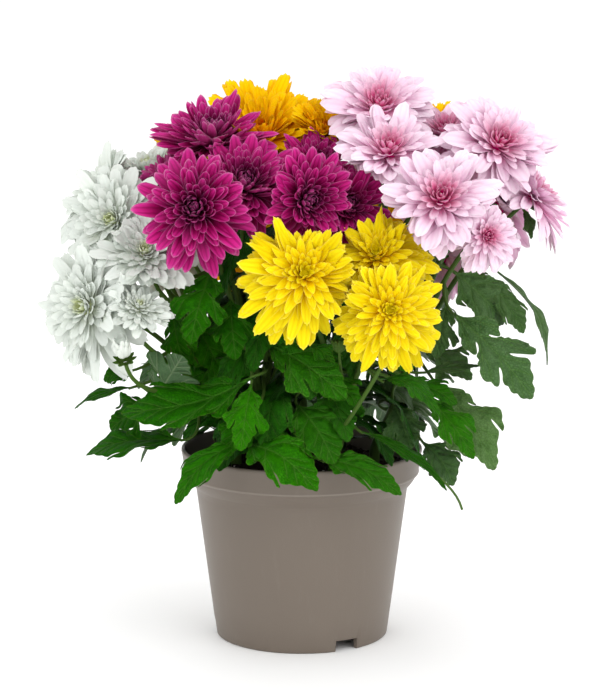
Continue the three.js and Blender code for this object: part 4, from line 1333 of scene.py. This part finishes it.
FINE_PATTERNS = [leaf_pattern(seed, 2, 3.4, filled) for seed, filled in enumerate((0, 0.2, 0.4, 0.62, 0.8))]
PLAIN_PATTERNS = [leaf_pattern(seed, 1, 5.5, filled) for seed, filled in ((6, 0.1), (7, 0.3), (8, 0.5))]
print("triangles in a leaf:", [len(pattern[4]) for pattern in FINE_PATTERNS + PLAIN_PATTERNS])

# %% [markdown]
# ## Leaf shape
# A leaf goes from its start to its tip, with its upper face towards a given direction. The blade
# arches along the rib and folds up a little on both sides. Further out it ripples, its lobes droop
# each by its own amount, and the tissue between the veins stands up like a quilt.

# %% Bend a leaf
LEAF_FOLD = 0.2
LEAF_THICKNESS = 0.45
LOBE_DROOP, TIP_DROOP = (0.05, 0.14), (0.02, 0.09)
SLOW_RIPPLE, QUICK_RIPPLE = (9, 13), (22, 30)
QUILTING, QUILT_REACH, QUILT_MARGIN = 0.55, 1.7, 2.5
LEAF_TWIST, LEAF_SWAY = 14, 0.05
RIB_DEPTH, RIB_WIDTH = 0.7, 1.1


def shaped_leaf(heap, spec, pattern, draw, light):
    start, tip, turn, rise, width, arch = spec
    spots, own, gap, vein_gap, faces = pattern
    start, tip = np.array(start, float), np.array(tip, float)
    length = np.linalg.norm(tip - start)
    along = (tip - start) / length
    up = facing(turn, rise)
    up = up - along * (up @ along)
    up /= np.linalg.norm(up)
    across = np.cross(up, along)
    u, v = spots[:, 0] / PATTERN_LENGTH, spots[:, 1] / PATTERN_HALF_WIDTH
    out = np.abs(v)
    x, y = u * length, v * width / 2
    scale = length / PATTERN_LENGTH
    lift = arch * length * np.sin(math.pi * np.minimum(u, 1)) + LEAF_FOLD * np.abs(y)
    lift = lift - draw.uniform(*LOBE_DROOP) * width * out ** 2.5
    lift = lift - draw.uniform(*TIP_DROOP) * length * np.maximum(u - 0.55, 0) ** 2 * 5
    for hand in (1, -1):
        mine = (v * hand > 0) * out
        lift = lift + mine * width * 0.10 * np.sin(u * draw.uniform(*SLOW_RIPPLE) + draw.uniform(0, 6.28))
        quick = np.sin(u * draw.uniform(*QUICK_RIPPLE) + draw.uniform(0, 6.28))
        lift = lift + mine ** 2 * width * 0.05 * quick
    quilt = 1 - np.exp(-(vein_gap / QUILT_REACH) ** 2)
    quilt = quilt * np.minimum(gap / QUILT_MARGIN, 1) * QUILTING * scale
    twist = math.radians(draw.uniform(-LEAF_TWIST, LEAF_TWIST)) * u
    sway = draw.uniform(-LEAF_SWAY, LEAF_SWAY) * length * u ** 2
    rib = RIB_DEPTH * scale * (1 - 0.75 * u) * np.exp(-(spots[:, 1] / RIB_WIDTH) ** 2)
    upper, lower = lift + quilt, (lift + quilt - LEAF_THICKNESS - rib)[own]

    def laid(layer, xs, ys, bends, sways):
        turned_y = ys * np.cos(bends) - layer * np.sin(bends) * 0.5
        turned_up = layer + ys * np.sin(bends)
        return start + xs[:, None] * along + (turned_y + sways)[:, None] * across + turned_up[:, None] * up

    top = laid(upper, x, y, twist, sway)
    bottom = laid(lower, x[own], y[own], twist[own], sway[own])
    place = np.column_stack([spots[:, 0], spots[:, 1], gap])
    flags = np.where(own, 0.0, 0.5)
    tone = draw.random()
    chance = np.column_stack([np.full(len(spots), tone), flags, np.full(len(spots), light)])
    under = np.column_stack([np.full(own.sum(), tone), np.ones(own.sum()), np.full(own.sum(), light)])
    heap.add(np.concatenate([top, bottom]), faces, leaf_place=np.concatenate([place, place[own]]),
             leaf_chance=np.concatenate([chance, under]))


# %% [markdown]
# A leaf's stalk grows from the nearest point of the plant's stems that lies behind the blade, so it
# leaves the stem at a natural angle and runs out along the midrib.

# %% Leaf stalks
SHORTEST_STALK = 12
STALK_RADII = np.linspace(1.35, 0.75, 9)
STALK_SIDES = 8
ONTO_BLADE = 4


def stalk_foot(middles, start, along):
    stalks = start - middles
    distances = np.linalg.norm(stalks, axis=1)
    scores = distances * (2 - (stalks @ along) / np.maximum(distances, 0.01))
    scores[distances < SHORTEST_STALK] = np.inf
    return middles[np.argmin(scores)]


def add_stalk(heap, middles, spec):
    start, tip = np.array(spec[0], float), np.array(spec[1], float)
    along = (tip - start) / np.linalg.norm(tip - start)
    foot = stalk_foot(middles, start, along)
    reach = np.linalg.norm(start - foot)
    ahead = start + along * ONTO_BLADE
    middle = bezier(foot, foot + (start - foot) * 0.35, ahead - along * (0.4 * reach + ONTO_BLADE), ahead,
                    np.linspace(0, 1, len(STALK_RADII)))
    add_green(heap, *tube(middle, STALK_RADII, STALK_SIDES, 0.0), 0.5)


# %% [markdown]
# ## Which leaves
# The leaves seen from the front are placed one by one, near where the frame has them. Each row gives a
# leaf's start and tip, the way its face looks (turn and rise), its width, its arch as a share of its
# length, and the pattern it is cut from: 0 has the deepest cuts and 4 the fullest blade. The back has
# the frame's three tiers. Between them the bush is full of leaves that are only half seen: rings that
# hang round its inside with their faces out, and small ones deep inside round each fork. Those come
# from a seeded draw and keep out of the heads.

# %% Leaf lists
LEAVES = {
    "white": [
        ((-83, -44, 148), (-65, -52, 174), 172, 20, 35, 0.02, 0),
        ((-80, -36, 144), (-109, -38, 129), -30, 50, 30, 0.08, 2),
        ((-65, -36, 122), (-124, -30, 117), -16, 60, 27, 0.04, 3),
        ((-95, -26, 151), (-131, -22, 140), -20, 60, 10, 0.06, 4),
        ((-95, -22, 160), (-114, -20, 155), -20, 40, 16, 0.06, 3),
        ((-73, -36, 198), (-66, -48, 165), -20, 10, 20, 0.08, 1),
        ((-64, -8, 192), (-46, -24, 156), -4, 26, 32, 0.08, 2),
        ((-36, -10, 184), (-62, -22, 148), -8, 30, 32, 0.08, 3),
    ],
    "magenta": [
        ((-25, -60, 164), (-101, -68, 146), -8, 50, 40, -0.13, 3),
        ((-28, -61, 160), (-33, -82, 126), -5, 32, 25, 0.10, 1),
        ((-31, -60, 127), (-70, -84, 98), -12, 58, 21, 0.16, 4),
        ((-33, -58, 124), (8, -92, 106), 6, 44, 36, 0.18, 3),
        ((-50, -50, 224), (-60, -70, 184), -8, 18, 33, 0.10, 0),
        ((-40, -44, 206), (-37, -64, 174), -6, 24, 28, 0.08, 1),
        ((-24, -56, 146), (-44, -70, 118), -16, 30, 20, 0.12, 4),
    ],
    "yellow": [
        ((9, -64, 117), (54, -90, 105), 6, 52, 21, 0.12, 3),
        ((-4, -48, 146), (20, -76, 119), 6, 36, 34, 0.10, 3),
        ((-22, -44, 180), (24, -76, 156), 8, 36, 38, 0.08, 1),
        ((69, -46, 151), (96, -68, 119), 8, 32, 22, 0.10, 1),
        ((42, -70, 164), (76, -90, 148), 16, 62, 18, 0.20, 4),
        ((56, -52, 159), (87, -60, 149), 10, 46, 18, 0.10, 2),
        ((31, -60, 133), (82, -82, 107), 14, 56, 10, 0.08, 4),
        ((3, -78, 185), (18, -88, 177), 0, 50, 13, 0.10, 4),
        ((9, -52, 166), (32, -68, 148), 8, 28, 21, 0.08, 1),
        ((40, -50, 188), (62, -66, 168), 20, 34, 25, 0.08, 2),
    ],
    "pink": [
        ((83, -42, 198), (128, -62, 151), 14, 30, 38, 0.08, 0),
        ((82, -34, 201), (74, -48, 172), 0, 20, 21, 0.08, 1),
        ((84, -26, 219), (117, -22, 188), 6, 36, 34, 0.05, 3),
        ((109, -12, 218), (145, -16, 164), 75, 30, 15, 0.10, 3),
        ((74, -32, 157), (110, -48, 108), 20, 28, 36, 0.10, 2),
        ((52, -34, 143), (62, -50, 120), 0, 20, 25, 0.08, 1),
        ((68, -38, 122), (87, -50, 100), 24, 30, 25, 0.12, 3),
        ((66, -28, 176), (96, -40, 158), 25, 40, 25, 0.08, 2),
        ((66, -48, 163), (100, -50, 167), 8, 50, 9, 0.05, 4),
        ((125, -22, 254), (131, -24, 236), 30, 10, 9, 0.05, 4),
        ((104, -18, 214), (127, -24, 182), 20, 30, 19, 0.06, 3),
    ],
    "orange": [],
}
BACK_TIERS = (
    dict(count=6, start_height=130, tip_height=102, start_out=50, tip_out=98, first=112, last=262),
    dict(count=4, start_height=164, tip_height=140, start_out=54, tip_out=104, first=118, last=250),
    dict(count=4, start_height=194, tip_height=176, start_out=56, tip_out=102, first=106, last=256),
)
BACK_LEAF = (58, 34, 0.12)
WHITE_SIDE, PINK_SIDE = 222, 142
BUSH_WIDTH, BUSH_DEPTH = 104, 84
INNER_TIERS = (
    dict(count=13, start_height=136, drop=24, start_out=0.36, tip_out=0.80, length=54),
    dict(count=12, start_height=160, drop=34, start_out=0.36, tip_out=0.78, length=54),
    dict(count=12, start_height=188, drop=38, start_out=0.34, tip_out=0.74, length=52),
    dict(count=12, start_height=216, drop=38, start_out=0.32, tip_out=0.70, length=50),
    dict(count=10, start_height=244, drop=36, start_out=0.26, tip_out=0.60, length=46),
)
FILLERS_PER_PLANT = 9
LOWEST_TIP = 106
HEAD_CLEARANCE = (0.75, 2)
FILLER_HEIGHTS, FILLER_LENGTHS = (112, 250), (34, 46)
print("leaves set by hand:", sum(len(leaves) for leaves in LEAVES.values()))


def back_leaves():
    for tier in BACK_TIERS:
        for i in range(tier["count"]):
            turn = tier["first"] + (tier["last"] - tier["first"]) * i / (tier["count"] - 1)
            owner = "white" if turn > WHITE_SIDE else "pink" if turn < PINK_SIDE else "orange"
            way = facing(turn, 0)
            start = way * tier["start_out"] + np.array([0, 0, tier["start_height"]])
            tip = way * tier["tip_out"] + np.array([0, 0, tier["tip_height"]])
            rise, width, arch = BACK_LEAF
            yield owner, (start, tip, turn, rise, width, arch)


def clear_of_heads(spot):
    share, gap = HEAD_CLEARANCE
    return all(np.linalg.norm(spot - head_middle(heart, turn, rise, radius)) > share * radius + gap
               for _, _, heart, turn, rise, radius in ALL_HEADS)


def nearest_plant(spot):
    return min(PLANTS, key=lambda colour: np.linalg.norm(np.array(PLANTS[colour][1][:2]) - spot[:2]))


def inner_leaves(draw):
    """Rings of leaves that hang round the inside of the bush, their faces turned outwards."""
    for number, tier in enumerate(INNER_TIERS):
        for i in range(tier["count"]):
            turn = (i + 0.5 * (number % 2)) / tier["count"] * 360 + draw.uniform(-9, 9)
            way = facing(turn, 0) * (BUSH_WIDTH, BUSH_DEPTH, 0)
            start = way * tier["start_out"] * draw.uniform(0.8, 1.15)
            start[2] = tier["start_height"] + draw.uniform(-8, 8)
            tip = way * tier["tip_out"] * draw.uniform(0.88, 1.05)
            tip[2] = max(start[2] - tier["drop"] * draw.uniform(0.7, 1.2), LOWEST_TIP)
            tip[:2] += np.array([draw.uniform(-10, 10), draw.uniform(-8, 8)])
            width = tier["length"] * draw.uniform(0.48, 0.62)
            if clear_of_heads(tip):
                spec = (start, tip, turn + draw.uniform(-25, 25), draw.uniform(25, 60), width, 0.12)
                yield nearest_plant(start), spec


def filler_leaves(colour, draw):
    """Leaves close round a plant's fork, deep inside the bush."""
    fork = np.array(PLANTS[colour][1], float)
    found = []
    while len(found) < FILLERS_PER_PLANT:
        turn = draw.uniform(0, 360)
        way = facing(turn, 0)
        start = np.array([fork[0], fork[1], draw.uniform(*FILLER_HEIGHTS)]) + way * draw.uniform(8, 14)
        length = draw.uniform(*FILLER_LENGTHS)
        tip = start + way * length * 0.85 - np.array([0, 0, draw.uniform(0.2, 0.6) * length])
        bush = (tip[0] / BUSH_WIDTH) ** 2 + (tip[1] / BUSH_DEPTH) ** 2
        if bush < 0.5 and tip[2] > LOWEST_TIP and clear_of_heads(tip) and clear_of_heads(start):
            found.append((start, tip, turn, draw.uniform(30, 65), length * draw.uniform(0.5, 0.6), 0.10))
    return found


# %% [markdown]
# Small things show between the leaves: a bare side shoot under the lowest white head, one more below
# the yellow heads, the end of a stalk low on the pink plant, and a short shoot with a bud that is still
# green. That bud is the closed bud again, with bracts for petals. Each row of shoots gives the four
# points of a curve and the shoot's radius.

# %% Side shoots
SHOOTS = {
    "white": [((-84, -44, 150), (-100, -50, 163), (-111, -52, 178), (-112, -50, 192), 1.0)],
    "yellow": [((24, -54, 158), (22, -62, 165), (21, -68, 172), (20.6, -70, 180), 0.8),
               ((14, -46, 118), (23, -62, 134), (35, -78, 155), (45, -84, 176), 1.15)],
    "pink": [((58, -66, 120), (74, -78, 113), (86, -82, 104), (89, -80, 92), 0.7)],
}
GREEN_BUDS = {"yellow": [((20.6, -70, 179), 4.4)]}
GREEN_BUD_BRACTS = 13
UPWARD = np.array([0, 0, 1])


def add_shoots(heap, colour, draw):
    for *bends, radius in SHOOTS.get(colour, []):
        line = bezier(*bends, np.linspace(0, 1, 10))
        add_green(heap, *tube(line, np.full(10, radius), 8), draw.random())
    for spot, size in GREEN_BUDS.get(colour, []):
        for number in range(GREEN_BUD_BRACTS):
            angle = number * GOLDEN_TURN
            out = np.array([math.cos(angle), math.sin(angle), 0])
            across = np.array([-out[1], out[0], 0])
            midline = petal_midline(size * 1.8, 46, 64, 0)
            local, _, _ = petal_points("plain", size * 1.8, size * 0.9, midline, BUD_FORM, draw)
            root = np.array(spot, float) + out * size * 0.4
            points = set_out(local, root, out, across, UPWARD)
            add_green(heap, points, GRIDS["plain"][2], draw.random())


print("shoots:", sum(len(shoots) for shoots in SHOOTS.values()))

# %% [markdown]
# Behind every head sits a cup of small green bracts in two overlapping rows. It hides the ends of the
# petals and widens the branch to the width of the heart.

# %% Bracts
# For each row of bracts: how many, their length as a share of the cup's size, and how far they lean out
BRACT_ROWS = ((9, 1.0, 26), (9, 1.35, 8))
BRACT_FORM = dict(tip=0.5, round=0.6, point=0.8, teeth=0.0, widest=0.5, foot=0.6, groove=0.02, wave=0.0,
                  twist=4, sway=0.02, cup=0.9)
LARGEST_CUP = 6.5


def add_involucre(heap, heart, turn, rise, radius, draw):
    """The cup of small pointed bracts that holds a head from behind."""
    axis, side, over = head_frame(turn, rise)
    size = min(LARGEST_CUP, 0.8 * radius)
    for ring, (count, reach, lean) in enumerate(BRACT_ROWS):
        for i in range(count):
            angle = (i + 0.5 * ring) / count * 2 * math.pi + draw.uniform(-0.1, 0.1)
            out = side * math.cos(angle) + over * math.sin(angle)
            across = np.cross(axis, out)
            root = np.array(heart, float) - axis * BRACT_HEIGHT * (0.9 - 0.2 * ring) + out * 1.2
            midline = petal_midline(size * reach, lean + draw.uniform(-5, 5), 30, 6)
            local, _, _ = petal_points("plain", size * reach, size * 0.75, midline, BRACT_FORM, draw)
            add_green(heap, set_out(local, root, out, across, axis), GRIDS["plain"][2], draw.random())


print("bracts round a head:", sum(count for count, _, _ in BRACT_ROWS))


# %% [markdown]
# A plant is one heap: the stems with their bracts, the shoots, and then its leaves, each with a stalk.
# Leaves far inside the bush get less light, and the deepest ones are cut from plainer patterns.

# %% Build a plant
INNER_LEAF_SEED = 31
BASE_STEPS, BRANCH_STEPS = 13, 22
LEAF_FREE_STEPS = 4
FULL_LIGHT, HALF_SHADE, DEEP_SHADE = 1.0, 0.6, 0.3


def add_stems(heap, colour, draw):
    """The base stem, and a branch and bracts for every head; gives back where leaves may grow."""
    root, fork = PLANTS[colour]
    base = base_curve(root, fork, np.linspace(0, 1, BASE_STEPS))
    base = np.concatenate([[(root[0], root[1], STEM_BOTTOM)], base])
    radii = [BASE_STEM_RADIUS, *np.linspace(BASE_STEM_RADIUS, FORK_RADIUS, BASE_STEPS)]
    add_green(heap, *tube(base, radii), 0.3)
    middles = [base_curve(root, fork, np.linspace(0, 1, 20))]
    heads = HEADS[colour].values()
    shares = np.linspace(0, 1, BRANCH_STEPS)
    for i, (heart, turn, rise, radius) in enumerate(heads):
        start = base_curve(root, fork, [1 - 0.35 * i / len(heads)])[0]
        line = branch_curve(start, heart, turn, rise, shares)
        add_green(heap, *tube(line, BRANCH_RADIUS * (1.25 - 0.45 * shares)), draw.random())
        middles.append(line[:-LEAF_FREE_STEPS])
        add_involucre(heap, heart, turn, rise, radius, draw)
    return np.concatenate(middles)


def build_plant(colour, material, seed):
    draw = random.Random(seed)
    heap = Heap()
    middles = add_stems(heap, colour, draw)
    add_shoots(heap, colour, draw)
    rear = [spec for owner, spec in back_leaves() if owner == colour]
    inner = [spec for owner, spec in inner_leaves(random.Random(INNER_LEAF_SEED)) if owner == colour]
    leaves = [(spec, FULL_LIGHT, FINE_PATTERNS[cut]) for *spec, cut in LEAVES[colour]]
    leaves += [(spec, FULL_LIGHT, draw.choice(FINE_PATTERNS)) for spec in rear]
    leaves += [(spec, HALF_SHADE, draw.choice(FINE_PATTERNS)) for spec in inner]
    leaves += [(spec, DEEP_SHADE, draw.choice(PLAIN_PATTERNS)) for spec in filler_leaves(colour, draw)]
    for spec, light, pattern in leaves:
        shaped_leaf(heap, spec, pattern, draw, light)
        add_stalk(heap, middles, spec)
    return heap.piece(f"leaves_{colour}", material)


# %% [markdown]
# ## Leaf finish
# The upper face is a deep green, warmer and brighter in some leaves, with darker blotches that are
# partly its own uneven tone and partly painted shade of its wrinkles, a pale midrib and side veins, a
# faint net between them darkened as painted shade in its creases, and a thin pale margin that is a
# painted highlight along the edge. The underside is a matt grey-green. The veins are drawn from their
# own end points: each is the distance to a line in the leaf's flat pattern, which a little noise makes
# less straight. Leaves deep in the bush are darker, as they stand in shade. The pink plant's leaves are
# painted lighter and greyer, as painted light and sheen from the lamp on their side, and have more
# shine than the others.

# %% Leaf green
# Multipliers for the darker blotches (own tone and painted shade) and for painted shade in the creases
BLOTCH_TONE_AND_SHADE, CREASE_SHADE = (0.42, 0.52, 0.35, 1), (0.4, 0.5, 0.35, 1)
# The margin green is a painted highlight along the leaf's edge
GLOW_GREEN, VEIN_GREEN, EDGE_HIGHLIGHT_GREEN = paint(72, 130, 30), paint(112, 158, 70), paint(124, 160, 70)
UNDER_GREEN, UNDER_VEIN, UNDER_NET = paint(104, 138, 96), paint(158, 182, 138), paint(128, 158, 116)
STEM_GREENS = (paint(62, 92, 34), paint(86, 116, 50))
DEEP_IN_BUSH = (0.01, 0.03, 0.01, 1)


def vein_distance(bench, flat, start, end):
    scale = (PATTERN_LENGTH, PATTERN_HALF_WIDTH)
    first = tuple(s * k for s, k in zip(start, scale)) + (0.0,)
    way = tuple((e - s) * k for s, e, k in zip(start, end, scale)) + (0.0,)
    length_squared = sum(w * w for w in way)
    offset = bench.vector("SUBTRACT", flat, first)
    share = bench.math("MULTIPLY", bench.vector("DOT_PRODUCT", offset, way), 1 / length_squared, clamp=True)
    nearest = bench.vector("SCALE", way, scale=share)
    return bench.vector("LENGTH", bench.vector("SUBTRACT", offset, nearest))


# %% Leaf layers
def leaf_finish(name, warm, cool, shine):
    bench = Bench(name, 0.5, Specular_IOR_Level=shine, Subsurface_Weight=0.06, Subsurface_Scale=0.003,
                  Subsurface_Radius=(0.5, 1.0, 0.25))
    flat, along, across, gap = bench.place("leaf_place")
    _, tone, under, light = bench.place("leaf_chance")
    folded = bench.nodes.new("ShaderNodeCombineXYZ")
    away = bench.math("ABSOLUTE", across)
    wobble = bench.math("MULTIPLY_ADD", bench.noise(flat, 0.25, 2), 1.6, -0.8)
    bench.feed(folded.inputs[0], bench.math("ADD", along, wobble))
    bench.feed(folded.inputs[1], away)
    nearest = bench.times(away, bench.math("MULTIPLY_ADD", along, 0.008, 0.45))
    for start, end in SIDE_VEINS:
        nearest = bench.math("MINIMUM", nearest, vein_distance(bench, folded.outputs[0], start, end))
    vein = bench.between(nearest, 0.12, 0.55, True)
    glow = bench.between(nearest, 0.3, 2.6, True)
    net = bench.nodes.new("ShaderNodeTexVoronoi")
    net.feature = "DISTANCE_TO_EDGE"
    net.inputs["Scale"].default_value = 0.62
    bench.feed(net.inputs["Vector"], flat)
    mesh_lines = bench.between(net.outputs["Distance"], 0.02, 0.16, True)
    mottle = bench.noise(flat, 0.16, 4, 0.6)
    shade = bench.mix(tone, cool, warm)
    # Darker blotches: partly the leaf's own uneven tone, partly painted shade of its wrinkles
    blotch_tone_and_shade = bench.mix(1.0, shade, BLOTCH_TONE_AND_SHADE, "MULTIPLY")
    shade = bench.mix(bench.between(mottle, 0.42, 0.8), shade, blotch_tone_and_shade)
    shade = bench.mix(bench.times(glow, 0.14), shade, GLOW_GREEN)
    # Painted shade: the fine net is darker in its creases
    crease_shaded = bench.mix(1.0, shade, CREASE_SHADE, "MULTIPLY")
    shade = bench.mix(bench.times(mesh_lines, 0.45), shade, crease_shaded)
    shade = bench.mix(bench.times(vein, 0.2), shade, VEIN_GREEN)
    # Painted highlight: a pale band along the leaf's edge
    shade = bench.mix(bench.times(bench.between(gap, 0.0, 0.5, True), 0.22), shade, EDGE_HIGHLIGHT_GREEN)
    below = bench.mix(bench.times(vein, 0.7), UNDER_GREEN, UNDER_VEIN)
    below = bench.mix(bench.times(mesh_lines, 0.3), below, UNDER_NET)
    shade = bench.mix(bench.between(under, 0.55, 0.95), shade, below)
    is_stem = bench.between(gap, -3.0, -2.0, True)
    shade = bench.mix(is_stem, shade, bench.mix(mottle, *STEM_GREENS))
    in_shade = bench.math("MULTIPLY_ADD", light, -0.9, 0.9)
    shade = bench.mix(in_shade, shade, DEEP_IN_BUSH)
    relief = bench.math("MULTIPLY_ADD", mesh_lines, -0.35, bench.times(vein, -0.5))
    relief = bench.math("MULTIPLY_ADD", glow, -0.8, relief)
    relief = bench.math("MULTIPLY_ADD", bench.noise(flat, 0.5, 3), 0.5, relief)
    return bench.finish(shade, relief, 0.0013, 1.0)


# %% Greens of the plants
FIRST_PLANT_SEED = 3

leaf_finishes = {
    "white": leaf_finish("leaf_white", paint(64, 156, 0), paint(36, 104, 0), 0.05),
    "magenta": leaf_finish("leaf_magenta", paint(60, 156, 0), paint(28, 96, 0), 0.05),
    "yellow": leaf_finish("leaf_yellow", paint(66, 156, 6), paint(38, 104, 8), 0.07),
    # Painted light: the pink plant's lighter, greyer greens stand for the sheen of the lamp on its side
    "pink": leaf_finish("leaf_pink_painted_sheen", paint(112, 150, 84), paint(76, 112, 66), 0.16),
    "orange": leaf_finish("leaf_orange", paint(46, 116, 14), paint(26, 78, 18), 0.12),
}
for seed, colour in enumerate(PLANTS, FIRST_PLANT_SEED):
    plant = build_plant(colour, leaf_finishes[colour], seed)
    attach(plant, "root")
    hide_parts(f"plant_{colour}")
    print("leaves and stems of the", colour, "plant:", triangle_count(plant), "triangles")
